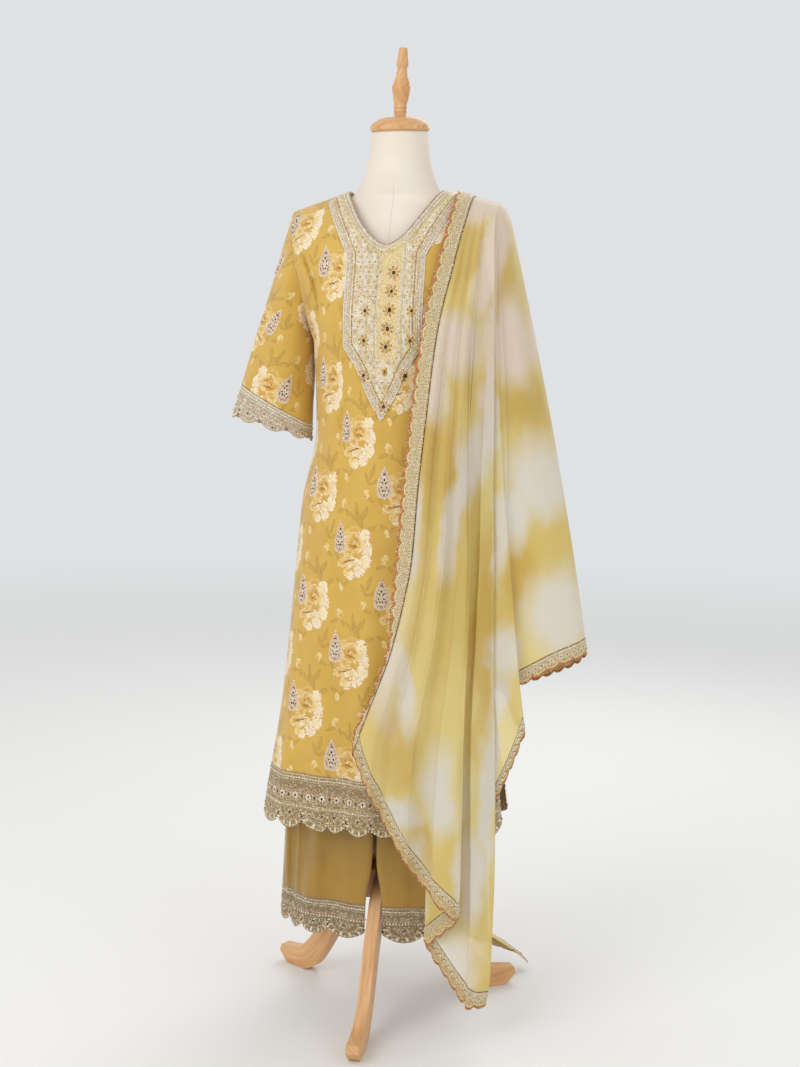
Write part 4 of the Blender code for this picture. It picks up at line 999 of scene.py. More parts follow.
# Pale places of the tie-dye, in metres from the pole: middle x and z, half sizes, and turn in degrees.
PALE = [
    (0.138, 1.446, 0.056, 0.036, -8), (0.178, 1.345, 0.016, 0.085, -3), (0.128, 1.195, 0.048, 0.038, 12),
    (0.098, 1.130, 0.018, 0.050, 4), (0.182, 1.065, 0.010, 0.045, 0), (0.158, 1.000, 0.014, 0.055, -14),
    (0.130, 0.925, 0.013, 0.085, -6), (0.196, 0.880, 0.010, 0.060, 0), (0.066, 0.880, 0.010, 0.065, -4),
    (0.060, 0.625, 0.014, 0.055, 0), (0.055, 0.405, 0.030, 0.022, -20), (0.128, 0.450, 0.026, 0.058, 0),
    (0.170, 0.300, 0.020, 0.062, 4), (0.197, 0.450, 0.012, 0.100, 0), (0.150, 0.130, 0.040, 0.055, 0),
    (0.222, 1.200, 0.026, 0.062, 8), (0.196, 1.120, 0.010, 0.060, 0), (0.262, 0.975, 0.046, 0.048, 0),
    (0.222, 0.910, 0.024, 0.045, 0), (0.305, 0.735, 0.046, 0.052, 10), (0.212, 0.685, 0.018, 0.030, 0),
    (0.207, 0.605, 0.012, 0.040, 0), (0.020, 0.700, 0.030, 0.090, 0), (0.060, 0.250, 0.030, 0.080, 0),
]
# How much of the chiffon's light passes through it softly, and how much of it is clear.
CHIFFON_GLOW, CHIFFON_CLEAR = 0.22, 0.10
# Places dyed a deeper gold, in the same way as the pale ones.
DEEP = [
    (0.135, 1.350, 0.030, 0.060, 0), (0.195, 1.290, 0.018, 0.090, 0), (0.245, 1.090, 0.040, 0.050, 0),
    (0.050, 0.510, 0.030, 0.070, 8), (0.178, 0.700, 0.014, 0.150, 0), (0.235, 0.800, 0.024, 0.060, 0),
    (0.085, 0.330, 0.020, 0.060, 0), (0.100, 1.020, 0.030, 0.080, 0),
]


def dyed(paint, spot, places, smear, start, end):
    """How much of the dye's mark lies on a spot: 1 inside any of the places."""
    away = None
    for x, z, half_x, half_z, turn in places:
        here = paint.length(paint.placed(spot, x, z, turn, half_x, half_z))
        away = here if away is None else away.least(here)
    return (away + smear).step(start, end)


def chiffon():
    """Sheer tie-dyed cloth: yellow with darker gold, and pale patches where the dye was kept out."""
    paint = Paint("tie_dyed_chiffon", roughness=0.5, specular=0.3, sheen=0.3)
    place = paint.cloth()
    x, _, z = paint.parts(paint.object())
    flat = paint.vector(x - float(POLE[0]), z)
    smear = paint.noise(paint.object(), 17, detail=3, roughness=0.6, stretch=(1, 1, 0.55))
    smear = paint.number(smear) * 1.1 - 0.55
    for scale, size in ((8, 0.085), (30, 0.030)):
        drift = paint.noise(paint.object(), scale, detail=2, stretch=(1, 1, 0.6)).outputs["Color"]
        offset = paint.vector_math("SUBTRACT", drift, (0.5, 0.5, 0.5))
        offset = paint.vector_math("MULTIPLY", offset, (size, size, 0))
        flat = paint.vector_math("ADD", flat, offset)
    tone = paint.number(paint.noise(paint.object(), 6, detail=3, stretch=(1, 1, 0.5)))
    colour = paint.mix(tone.step(0.35, 0.68), linear("eedd96"), linear("e2c86c"))
    colour = paint.mix(dyed(paint, flat, DEEP, smear, 1.6, 0.5) * 0.55, colour, linear("d3aa45"))
    pale = dyed(paint, flat, PALE, smear, 1.95, 0.6)
    colour = paint.mix(pale, colour, paint.mix(z.step(1.18, 0.95), linear("f0e1ce"), linear("ece6d8")))
    paint.set("Base Color", colour)
    paint.set("Normal", weave(paint, place, 0.15))
    through = paint.node("ShaderNodeBsdfTranslucent", Color=colour).outputs[0]
    clear = paint.node("ShaderNodeBsdfTransparent").outputs[0]
    soft = paint.blend(CHIFFON_GLOW, paint.shader.outputs[0], through)
    return paint.show(paint.blend(CHIFFON_CLEAR, soft, clear))


def jersey():
    """Ivory jersey of the form, with the seam that runs down its front."""
    paint = Paint("ivory_jersey", roughness=0.8, specular=0.25, sheen=0.15)
    place = paint.cloth()
    x, y, z = paint.parts(paint.object())
    tone = paint.number(paint.noise(paint.object(), 7, detail=2))
    colour = paint.mix(tone.step(0.3, 0.7), linear("f0e6d8"), linear("e9dccb"))
    seam = abs(x - float(POLE[0])).step(0.0007, 0.0002) * y.step(float(POLE[1]) + 0.01, float(POLE[1]))
    low = z.step(1.475, 1.465)
    colour = paint.mix(seam * low * 0.55, colour, linear("b9a894"))
    paint.set("Base Color", colour)
    knit = paint.parts(place)
    ribs = knit[0].sine(1 / 0.0012) * knit[1].sine(1 / 0.0012)
    paint.set("Normal", paint.bump(ribs * 0.4 - seam * low, 0.0004, 0.35))
    return paint.material


def wood():
    """Light varnished hardwood: long grain, darker streaks and small pores."""
    paint = Paint("light_hardwood", roughness=0.38, specular=0.45)
    place = paint.cloth()
    grain = paint.number(paint.noise(place, 1.0, detail=5, roughness=0.6, stretch=(160, 9, 1)))
    wide = paint.number(paint.noise(place, 1.0, detail=3, stretch=(30, 4, 1)))
    pores = paint.number(paint.noise(place, 1.0, detail=2, stretch=(1400, 90, 1)))
    stops = (0.30, linear("b57b48")), (0.48, linear("d6a26c")), (0.66, linear("e6bd8c"))
    colour = paint.ramp(grain * 0.6 + wide * 0.4, *stops)
    colour = paint.mix(pores.step(0.62, 0.74) * 0.4, colour, linear("8f5f34"))
    paint.set("Base Color", colour)
    paint.set("Roughness", grain * 0.18 + 0.30)
    paint.set("Normal", paint.bump(grain * 0.5 - pores.step(0.62, 0.74) * 0.4, 0.0004, 0.3))
    return paint.material


def pale_floor():
    """A pale floor that far away gives off a painted glow in the background's colour and light, so that no horizon
    shows.
    """
    paint = Paint("pale_floor", 0.8)
    place = paint.object()
    grain = paint.number(paint.noise(place, 1.5, detail=3))
    paint.set("Base Color", paint.mix(grain * 0.3, linear("f0efed"), linear("e9e8e5")))
    # Painted glow: from 2.2 m out the floor turns into an emitter of the background's light, though it is no lamp.
    painted_glow = paint.node("ShaderNodeEmission", Color=(*BACKGROUND, 1), Strength=BACKGROUND_LIGHT)
    far = paint.length(place).step(2.2, 9.0)
    return paint.show(paint.blend(far, paint.shader.outputs[0], painted_glow.outputs[0]))


def bead(name, light, dark, metallic, roughness):
    """Glass, metal or mirror of the beads, a little different from one to the next."""
    paint = Paint(name, roughness, 0.5, metallic=metallic)
    grain = paint.number(paint.noise(paint.object(), 260, detail=1))
    paint.set("Base Color", paint.mix(grain.step(0.35, 0.65), linear(light), linear(dark)))
    return paint.material


BEAD_FINISHES = {
    "silver": bead("silver_beads", "f6ecdc", "cdb99e", 0.25, 0.28),
    "rose": bead("rose_beads", "dcb8ac", "b08a84", 0.3, 0.3),
    "gold": bead("gold_beads", "d9ae62", "a97f38", 0.6, 0.3),
    "dark": bead("mirror_pieces", "5b4a34", "2c241c", 0.7, 0.15),
}
PRINT = printed_silk()
SILK = soft_silk()
HEM_BORDER = border("kameez_border", *HEM_SIZES, *(linear(c) for c in ("907547", "8a5a2c", "cbb486")))
CUFF_BORDER = border("cuff_border", *CUFF_SIZES, *(linear(c) for c in ("b7a180", "a8652c", "ece2cc")))
# The trouser border's colours are partly its own and partly painted shade: they are made darker for the dim light low
# down by the floor.
SHADED_TROUSER_BORDER = border("trouser_border", *TROUSER_SIZES, *(linear(c) for c in ("7d6a4b", "775440", "b7a480")))
YOKE = yoke_net()
LACE = lace()
CHIFFON_CLOTH = chiffon()
JERSEY = jersey()
WOOD = wood()
BACKGROUND, BACKGROUND_LIGHT = (0.93, 0.945, 0.96), 0.80
FLOOR = pale_floor()


def add_piece(name, data, finish, nodes):
    """Puts a mesh into the scene as a piece that rides on the part and stands for its CAD nodes."""
    obj = bpy.data.objects.new(name, data)
    bpy.context.scene.collection.objects.link(obj)
    data.materials.append(finish)
    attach(obj, "root")
    if nodes:
        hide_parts(*nodes)
    return obj


def grid_mesh(name, grids, flip=False):
    """One smooth mesh from grids of (points, texture, keep, ring). Texture holds metres along the cloth."""
    points, faces, textures, base = [], [], [], 0
    for grid, texture, keep, ring in grids:
        rows, columns = grid.shape[:2]
        if ring:
            columns += 1
        whole = grid.shape[1]
        index = base + np.arange(rows * whole).reshape(rows, whole)
        if ring:
            index = np.concatenate([index, index[:, :1]], axis=1)
        r, c = (axis.ravel() for axis in np.meshgrid(np.arange(rows - 1), np.arange(columns - 1), indexing="ij"))
        if keep is not None:
            kept = keep(r, c)
            r, c = r[kept], c[kept]
        corners = [(r, c), (r + 1, c), (r + 1, c + 1), (r, c + 1)]
        if flip:
            corners.reverse()
        faces.append(np.stack([index[a, b] for a, b in corners], axis=-1))
        textures.append(np.stack([texture[a, b] for a, b in corners], axis=1))
        points.append(grid.reshape(-1, 3))
        base += rows * whole
    points, faces, textures = np.concatenate(points), np.concatenate(faces), np.concatenate(textures)
    used, faces = np.unique(faces, return_inverse=True)
    data = bpy.data.meshes.new(name)
    data.from_pydata((points[used] + POLE).tolist(), [], faces.reshape(-1, 4).tolist())
    data.uv_layers.new(name="cloth").data.foreach_set("uv", textures[..., :2].ravel())
    if textures.shape[-1] > 2:
        data.uv_layers.new(name="border").data.foreach_set("uv", textures[..., 2:4].ravel())
    data.shade_smooth()
    return data


def thickened(obj, thickness):
    """Gives a sheet its thickness behind its outer face."""
    solid = obj.modifiers.new("thickness", "SOLIDIFY")
    solid.thickness = thickness
    solid.offset = -1
    return obj


def lengths(grid, middle=0, ring=False):
    """Metres along a grid's rows, from its middle column, and up its columns, from its last row."""
    if ring:
        grid = np.concatenate([grid, grid[:, :1]], axis=1)
    across = np.linalg.norm(np.diff(grid, axis=1), axis=-1).cumsum(axis=1)
    across = np.concatenate([0 * across[:, :1], across], axis=1)
    across = across - across[:, middle:middle + 1]
    up = np.linalg.norm(np.diff(grid, axis=0), axis=-1)[::-1].cumsum(axis=0)[::-1]
    up = np.concatenate([up, 0 * up[:1]], axis=0)
    return np.stack([across, up], axis=-1)


def spaced(top, low, near, fine, rows):
    """Heights from a top edge down to a low edge: a few rows close together under the top, then even ones."""
    k = np.arange(1, fine + 1)[:, None] / fine
    turn = top - near * k**2
    rest = turn[-1] + (low - turn[-1]) * np.arange(1, rows + 1)[:, None] / rows
    return np.concatenate([(top + 0 * k[:1]), turn, rest])


def fine_places(table, cells):
    """Places across a table's rows, with an even number of cells for each unit of cloth."""
    coarse = columns_of(table)
    return np.interp(np.arange((len(coarse) - 1) * cells + 1) / cells, np.arange(len(coarse)), coarse)


def panel_places(cells):
    """Places across a panel: the CAD's columns with more between them."""
    across = both_sides([c.across for c in FRONT_COLUMNS])
    return np.interp(np.arange((len(across) - 1) * cells + 1) / cells, np.arange(len(across)), across)


# Where the crease from the right armhole starts and ends: x and height.
ARMHOLE_CREASE = ((-0.172, 1.372), (-0.118, 1.236))


def dressed_point(across, z, side):
    """A point of the kameez with its soft hanging folds and, in front, the crease that runs from the armhole."""
    point = kameez_point(across, z, side)
    x, z = point[..., 0], point[..., 2]
    hang = smooth((1.12 - z) / 0.55)
    folds = 0.0042 * hang * (1 + np.sin(across * 15 + 3 * z + (0.4 if side == "front" else 2.1))) / 2
    folds = folds + 0.0030 * hang * np.exp(-(((np.abs(across) - 0.86 + 0.05 * z) / 0.035) ** 2))
    outward = -1 if side == "front" else 1
    if side == "front":
        (x0, z0), (x1, z1) = ARMHOLE_CREASE
        run = np.array((x1 - x0, z1 - z0))
        length = np.linalg.norm(run)
        run /= length
        share = ((x - x0) * run[0] + (z - z0) * run[1]) / length
        off = (x - x0) * run[1] - (z - z0) * run[0] + 0.010 * np.sin(np.pi * np.clip(share, 0, 1))
        near = np.sin(np.pi * np.clip(share, 0, 1)) ** 0.6
        beside = np.where(off > 0, np.exp(-off / 0.016), np.exp(off / 0.010))
        folds = folds + near * (0.0075 * (off > 0) * beside - 0.0090 * np.exp(-((off / 0.0040) ** 2)))
    point[..., 1] += outward * folds
    return point


def kameez_panel(name, side, nodes):
    """The front or the back panel, without its border."""
    across = panel_places(6 if side == "front" else 4)
    top = kameez_top(across, side)
    low = np.full_like(top, KAMEEZ_HEM + KAMEEZ_TRIM)
    heights = spaced(top, low, SHOULDER_ROUND, 12, 160 if side == "front" else 110)
    grid = dressed_point(across, heights, side)
    texture = lengths(kameez_point(across, heights, side), len(across) // 2)
    data = grid_mesh(name, [(grid, texture, None, False)], flip=side == "back")
    obj = thickened(add_piece(name, data, PRINT, nodes), PRINT_THICKNESS)
    return obj, grid, texture


def scalloped(seam, free, phase, depth, most, rows):
    """Fine grid of a trim that hangs from its seam and ends in round scallops, one for each whole step of phase.
    Between two scallops it is cut back by depth, or by this share of its width at most."""
    crest = np.abs(np.sin(np.pi * phase)) ** 0.7
    width = np.linalg.norm(free - seam, axis=1)
    out = (free - seam) / np.maximum(width, 1e-6)[:, None]
    full = width - np.minimum(depth, most * width) * (1 - crest)
    reach = full * np.linspace(0, 1, rows + 1)[:, None]
    texture = np.stack([run_length(seam) + 0 * reach, reach, full - reach, phase + 0 * reach], axis=-1)
    return seam + out * reach[..., None], texture


def trim_grid(seam, free, depth, counts, rows):
    """Fine grid of a border. counts gives the scallops between one CAD column and the next, as the CAD has them."""
    cells = (len(seam) - 1) // len(counts)
    place = np.arange(len(seam)) / cells
    part = np.clip(place.astype(int), 0, len(counts) - 1)
    share = place - part
    whole = np.concatenate([[0], np.cumsum(counts)])
    phase = whole[part] + share * np.array(counts)[part]
    return scalloped(seam, free, phase, depth, 0.4, rows)


def trim_piece(name, grid, texture, finish, nodes, flip=False):
    """A border or a lace as a piece with its thickness."""
    data = grid_mesh(name, [(grid, texture, None, False)], flip=flip)
    return thickened(add_piece(name, data, finish, nodes), BORDER_THICKNESS)


def kameez_hem(name, side, nodes):
    """A panel's scalloped border, with its grid and texture."""
    across = panel_places(12)
    seam = dressed_point(across, np.full_like(across, KAMEEZ_HEM + KAMEEZ_TRIM - 2 * SEAM), side)
    free = dressed_point(across, np.full_like(across, KAMEEZ_HEM), side)
    counts = [0.5] * (2 * len(FRONT_COLUMNS) - 2)
    grid, texture = trim_grid(seam, free, SCALLOP_DEPTH, counts, 24)
    return trim_piece(name, grid, texture, HEM_BORDER, nodes, flip=side == "back"), grid, texture


# The yoke: how far it stands out, and its places across the front, as shares of the panel's half width. Its long
# middle ends at the first, its neckline at the second and its shoulder bands at the third.
YOKE_OUT = 0.0016
YOKE_MIDDLE, YOKE_NECK, YOKE_BAND = PLACKET_SHARE, 0.4836, 0.646


def yoke_low(across):
    """Lowest height of the yoke at a column: the end of its shoulder bands, or of its long middle."""
    a = np.abs(across)
    columns = np.array([c.across for c in FRONT_COLUMNS])
    band = np.interp(a, columns, [c.band for c in FRONT_COLUMNS])
    placket = np.interp(a, columns, [c.placket for c in FRONT_COLUMNS])
    return band, placket


def neck_yoke():
    """The embroidered yoke in three parts that share one surface: two shoulder bands and the long middle."""
    bands = np.linspace(YOKE_MIDDLE, YOKE_BAND, 31)
    grids = []
    for across, lower in ((-bands[::-1], 0), (np.linspace(-YOKE_MIDDLE, YOKE_MIDDLE, 61), 1), (bands, 0)):
        top = kameez_top(across, "front")
        low = yoke_low(across)[lower]
        share = np.linspace(0, 1, 71)[:, None] ** 1.25
        heights = top + (low - top) * share
        grid = kameez_point(across, heights, "front", YOKE_OUT)
        grids.append((grid, yoke_texture(grid), None, False))
    return grids


def yoke_outline():
    """The yoke's neckline and outer edge as points in space, for the distances that its texture holds."""
    across = np.linspace(-YOKE_BAND, YOKE_BAND, 401)
    inside = np.abs(across) <= YOKE_NECK
    neck = kameez_point(across[inside], kameez_top(across[inside], "front"), "front", YOKE_OUT)
    band, placket = yoke_low(across)
    low = np.where(np.abs(across) < YOKE_MIDDLE, placket, band)
    outer = kameez_point(across, low, "front", YOKE_OUT)
    for sign in (-1, 1):
        heights = np.linspace(1.190, 1.345, 60)
        side = kameez_point(np.full(60, sign * YOKE_MIDDLE), heights, "front", YOKE_OUT)
        outer = np.concatenate([outer, side])
    return neck, outer


def nearest(points, line):
    """Distance of each point from a line of points."""
    flat = points.reshape(-1, 3)
    best = np.full(len(flat), 9.0)
    for spot in line:
        best = np.minimum(best, np.linalg.norm(flat - spot, axis=1))
    return best.reshape(points.shape[:-1])


def yoke_texture(grid):
    """Place seen from the front, then the distances from the outer edge and from the neckline."""
    neck, outer = YOKE_LINES
    return np.stack([grid[..., 0], grid[..., 2], nearest(grid, outer), nearest(grid, neck)], axis=-1)


def sleeve(side, outer, columns, rows):
    """A sleeve and its cuff."""
    mirror = side == "right"
    share = np.arange(columns) / columns
    up = 1 - (1 - CUFF_SHARE) * np.linspace(0, 1, rows + 1)
    grid = sleeve_point(share, up[:, None], outer)
    turn = 2 * np.pi * share
    front = np.exp(-(((share - 0.80 + 0.10 * (1 - up[:, None])) / 0.055) ** 2))
    drag = 0.0048 * front * np.sin(np.pi * np.clip(1.05 - up[:, None], 0, 1)) ** 0.8
    between = np.sin(np.pi * (up[:, None] - CUFF_SHARE) / (1 - CUFF_SHARE)) ** 2
    drag = drag + 0.0022 * np.sin(turn * 5 + 9 * up[:, None]) * between
    grid = grid + np.stack([drag * np.cos(turn) * 0.4, drag * np.sin(turn), 0 * drag], axis=-1)
    grid[0, :, 0] -= 0.0025
    grid[1, :, 0] -= 0.0008
    cuff_share = np.arange(SLEEVE_COLUMNS * 12 + 1) / (SLEEVE_COLUMNS * 12)
    seam = sleeve_point(cuff_share, np.full_like(cuff_share, CUFF_SHARE - 0.003), outer)
    free = sleeve_point(cuff_share, np.zeros_like(cuff_share), outer)
    cuff, cuff_texture = trim_grid(seam, free, SCALLOP_DEPTH * 0.8, [0.5] * SLEEVE_COLUMNS, 16)
    if mirror:
        grid, cuff = grid * (-1, 1, 1), cuff * (-1, 1, 1)
    texture = lengths(grid, 0, ring=True)
    data = grid_mesh("sleeve_" + side, [(grid, texture, None, True)], flip=mirror)
    cloth = add_piece("kameez_sleeve_" + side, data, PRINT, ["sleeve_" + side])
    cloth = thickened(cloth, PRINT_THICKNESS)
    border = trim_piece("kameez_cuff_" + side, cuff, cuff_texture, CUFF_BORDER, ["cuff_" + side], flip=mirror)
    return cloth, border, grid, texture, cuff, cuff_texture


def trouser_point(share, z):
    """A point of a leg's open side with its pressed crease and the soft drag lines across it."""
    point = trouser_outer(share, z)
    hang = smooth((0.80 - z) / 0.3)
    crease = 0.0080 * (np.exp(-np.abs(share - 0.27) / 0.018) + np.exp(-np.abs(share - 0.73) / 0.018))
    wide, narrow = np.sin(share * 30 + z * 9), np.sin(share * 61 - z * 11 + 1)
    drag = 0.0085 * ((1 + wide) / 2) ** 3 + 0.0050 * ((1 + narrow) / 2) ** 3
    low = smooth((z - TROUSER_HEM) / 0.10)
    folds = crease + drag * (0.35 + 0.65 * low)
    point[..., 1] += np.sign(point[..., 1]) * hang * folds * np.sin(np.pi * share) ** 0.5
    return point


def trouser_leg(side):
    """A trouser leg and its border, with the border's grid and texture."""
    mirror = side == "right"
    outer = np.linspace(0, 1, 109)
    inner = np.linspace(0, 1, 25)[1:-1]
    top, low = WAIST_HEIGHT - BAND_WIDTH, TROUSER_HEM + TROUSER_TRIM
    heights = np.concatenate([np.linspace(top, 0.46, 24), np.linspace(0.45, low, 50)])
    rows = [(trouser_point(outer, np.full_like(outer, z)), trouser_inner(inner, z)) for z in heights]
    grid = np.array([np.concatenate(row) for row in rows])

    def keep(row, column):
        joined = (heights[row] <= CROTCH_HEIGHT) & (heights[row] > INSEAM_ARCH)
        return (column < len(outer) - 1) | joined

    border_share = np.linspace(0, 1, OUTER_CELLS * 14 + 1)
    seam = trouser_point(border_share, np.full_like(border_share, TROUSER_HEM + TROUSER_TRIM - 2 * SEAM))
    free = trouser_point(border_share, np.full_like(border_share, TROUSER_HEM))
    border, border_texture = trim_grid(seam, free, SCALLOP_DEPTH * 0.8, [0.5] * OUTER_CELLS, 16)
    if mirror:
        grid, border = grid * (-1, 1, 1), border * (-1, 1, 1)
    texture = lengths(grid, 0, ring=True)
    data = grid_mesh("trouser_" + side, [(grid, texture, keep, True)], flip=mirror)
    cloth = add_piece("trouser_leg_" + side, data, SILK, ["trouser_" + side])
    cloth = thickened(cloth, SILK_THICKNESS)
    name, replaced = "trouser_border_" + side, ["trouser_hem_" + side]
    hem = trim_piece(name, border, border_texture, SHADED_TROUSER_BORDER, replaced, flip=mirror)
    return cloth, hem, border, border_texture


def waistband():
    """The gathered elastic casing."""
    turn = np.linspace(0, 2 * np.pi, 288, endpoint=False)
    rows = np.linspace(WAIST_HEIGHT, WAIST_HEIGHT - BAND_WIDTH + SEAM, 9)
    grid = []
    for z in rows:
        width = curve(TROUSERS, "width", z)
        depth = np.where(np.sin(turn) < 0, curve(TROUSERS, "front", z), curve(TROUSERS, "back", z))
        gather = 1 + 0.006 * np.sin(turn * 60) * np.sin(np.pi * (WAIST_HEIGHT - z) / BAND_WIDTH)
        grid.append(np.stack([width * np.cos(turn) * gather, depth * np.sin(turn) * gather, z + 0 * turn], axis=-1))
    grid = np.array(grid)
    data = grid_mesh("waistband", [(grid, lengths(grid, 0, ring=True), None, True)])
    casing = add_piece("trouser_casing", data, SILK, ["trouser_waistband"])
    return thickened(casing, SILK_THICKNESS)


# Narrow pleats of a fall: place across it, width and height, in shares of its width and metres.
PLEATS = [
    (0.08, 0.030, 0.0060), (0.17, 0.040, 0.0100), (0.29, 0.034, 0.0075), (0.40, 0.044, 0.0115), (0.51, 0.034, 0.0080),
    (0.76, 0.040, 0.0085), (0.88, 0.036, 0.0090),
]


def pleated(share, z, side, beyond=0.0):
    """A point of a fall with its narrow, sharp-sided pleats, which open from the shoulder down."""
    point = fall_point(share, z, side, beyond)
    rise = 0 * point[..., 1]
    for place, width, tall in PLEATS:
        off = (share - place - 0.014 * np.sin(4 * z + 9 * place)) / width
        slope = np.where(off > 0, np.exp(-off * 1.1), np.exp(off * 5.0))
        rise = rise + tall * slope * smooth((1.42 + 0.1 * np.sin(40 * place) - z) / 0.5)
    rise = rise * smooth(share / 0.05)
    point[..., 1] += rise * (-1 if side == "front" else 1)
    return point


def turned_under(grid, texture, z, side):
    """A fall's grid with the cloth past its outer fold, which turns under to the stretch over the sleeve."""
    level = np.maximum(z, 0.45)
    edge = fall_point(np.ones_like(z), level, side)
    met = side_point(np.full_like(z, 0.0 if side == "front" else 1.0), level)
    under = (met - edge) * (0.25 + 0.75 * smooth((z - 0.12) / 0.30))[:, None]
    parts = np.array((0.15, 0.40, 0.70, 1.0, 1.15))
    round_out = 0.0012 * np.sin(np.pi * np.minimum(parts, 1))
    added = grid[:, -1:] + under[:, None] * parts[:, None]
    added[..., 0] += round_out
    further = np.repeat(texture[:, -1:], len(parts), axis=1)
    further[..., 0] += np.linalg.norm(under, axis=1)[:, None] * parts
    return np.concatenate([grid, added], axis=1), np.concatenate([texture, further], axis=1)


def fall(side):
    """A hanging stretch of the dupatta, with the lace of its inner edge and of its slanting end."""
    edges, folds = fall_tables(side)
    share = fine_places(folds, 6)
    x = edges[0].left + (edges[0].right - edges[0].left) * along([f.high for f in folds], share)
    top = shoulder_height(x) + RIDGE_LIFT + CHIFFON
    heights = spaced(top, fall_hem(share, side), 0.11, 12, 150)
    grid = pleated(share, heights, side)
    grid[0, :, 1] = 0
    texture = np.concatenate([lengths(grid), np.stack([share + 0 * heights, heights], axis=-1)], axis=-1)
    flip = side == "back"
    whole, whole_texture = turned_under(grid, texture, heights[:, -1], side)
    data = grid_mesh("fall_" + side, [(whole, whole_texture, None, False)], flip=flip)
    cloth = add_piece("dupatta_fall_" + side, data, CHIFFON_CLOTH, ["dupatta_" + side])
    z = heights[:, 0]
    width = curve(edges, "trim", z)
    x = grid[:, 0, 0]
    rise = (shoulder_height(x - width) - shoulder_height(x)) * (1 - smooth((z[0] - z) / 0.12))
    free = pleated(np.zeros_like(z), z + rise, side, width)
    hem = grid[-1]
    run = np.linalg.norm(np.gradient(hem[:, :2], axis=0), axis=1)
    steep = np.abs(np.gradient(hem[:, 2])) / np.maximum(run, 1e-6)
    drop = DUPATTA_TRIM * np.minimum(np.sqrt(1 + steep**2), 1.35)
    end = pleated(share, np.maximum(hem[:, 2] - drop, 0.006), side)
    corner = np.array([free[-1, 0], (free[-1, 1] + end[0, 1]) / 2, end[0, 2]])
    free[-1] = end[0] = corner
    made, laces = [cloth], []
    for part, seam, line in (("edge", grid[:, 0], free), ("end", hem, end)):
        lace, lace_texture = lace_grid(seam, line)
        turned_over = flip if part == "end" else not flip
        name, replaced = f"dupatta_lace_{side}_{part}", [f"dupatta_{side}_{part}"]
        made.append(trim_piece(name, lace, lace_texture, LACE, replaced, flip=turned_over))
        laces.append((lace, lace_texture, turned_over))
    return made, grid, texture, laces


def lace_grid(seam, free):
    """Fine grid of a lace with evenly spaced scallops along its free edge."""
    length, rows = run_length(seam), np.arange(len(seam))
    at = np.interp(np.linspace(0, length[-1], int(length[-1] / LACE_CELL) + 1), length, rows)
    lines = [np.stack([np.interp(at, rows, line[:, k]) for k in range(3)], axis=-1) for line in (seam, free)]
    phase = np.linspace(0, max(1, round(length[-1] / LACE_SCALLOP)), len(at))
    return scalloped(*lines, phase, SMALL_SCALLOP_DEPTH * 0.6, 0.3, 10)


def dupatta_side():
    """The stretch of the dupatta that goes over the shoulder and spreads down the side, with its lace."""
    share = fine_places(SIDE_FOLDS, 8)
    hem = along([f.hem for f in SIDE_FOLDS], share)
    heights = spaced(np.full_like(share, SIDE_TOP), hem, 0.11, 12, 130)
    grid = side_point(share, heights)
    rounded = rounding((SIDE_TOP - heights) * SHOULDER_ROUND / 0.035)
    grid[..., 0] = grid[:, :1, 0] + (grid[..., 0] - grid[:, :1, 0]) * rounded
    texture = np.concatenate([lengths(grid), np.stack([share + 0 * heights, heights], axis=-1)], axis=-1)
    data = grid_mesh("side", [(grid, texture, None, False)])
    cloth = add_piece("dupatta_over_sleeve", data, CHIFFON_CLOTH, ["dupatta_side"])
    lace, lace_texture = lace_grid(grid[-1], side_point(share, hem - DUPATTA_TRIM))
    trim = trim_piece("dupatta_lace_side", lace, lace_texture, LACE, ["dupatta_side_trim"])
    return cloth, trim, lace, lace_texture


def dress_form():
    """The form's jersey body, with flat ends at the top of its neck and below its hips."""
    turn = np.linspace(0, 2 * np.pi, 128, endpoint=False)
    stretches = (NECK_TOP, 1.48, 24), (1.475, 1.42, 24), (1.41, 0.84, 40)
    heights = np.concatenate([np.linspace(*stretch) for stretch in stretches])
    grid = []
    for z in heights:
        depth = np.where(np.sin(turn) < 0, curve(FORM, "front", z), curve(FORM, "back", z))
        y = depth * np.sin(turn)
        slant = smooth((z - 1.48) / (NECK_TOP - 1.48)) * math.tan(NECK_SLANT)
        grid.append(np.stack([curve(FORM, "width", z) * np.cos(turn), y, z + y * slant], axis=-1))
    grid = np.array(grid)
    ends = [np.broadcast_to(grid[k].mean(axis=0), grid[k].shape) for k in (0, -1)]
    grid = np.concatenate([ends[0][None], grid, ends[1][None]])
    data = grid_mesh("form", [(grid, lengths(grid, 0, ring=True), None, True)])
    return add_piece("form_body", data, JERSEY, ["form_torso"])


def turned(name, outline, steps, place, node):
    """A turned wooden piece from its outline of (radius, height), in metres."""
    turn = np.linspace(0, 2 * np.pi, steps, endpoint=False)
    outline = np.array(outline)
    radius, height = outline[:, :1], outline[:, 1:]
    grid = np.stack([radius * np.cos(turn), radius * np.sin(turn), height + 0 * turn], axis=-1)
    grid = grid @ np.array(place.to_3x3()).T + np.array(place.translation)
    grid = grid[::-1]
    data = grid_mesh(name, [(grid, lengths(grid, 0, ring=True), None, True)])
    data.set_sharp_from_angle(angle=math.radians(38))
    return add_piece(name, data, WOOD, [node])


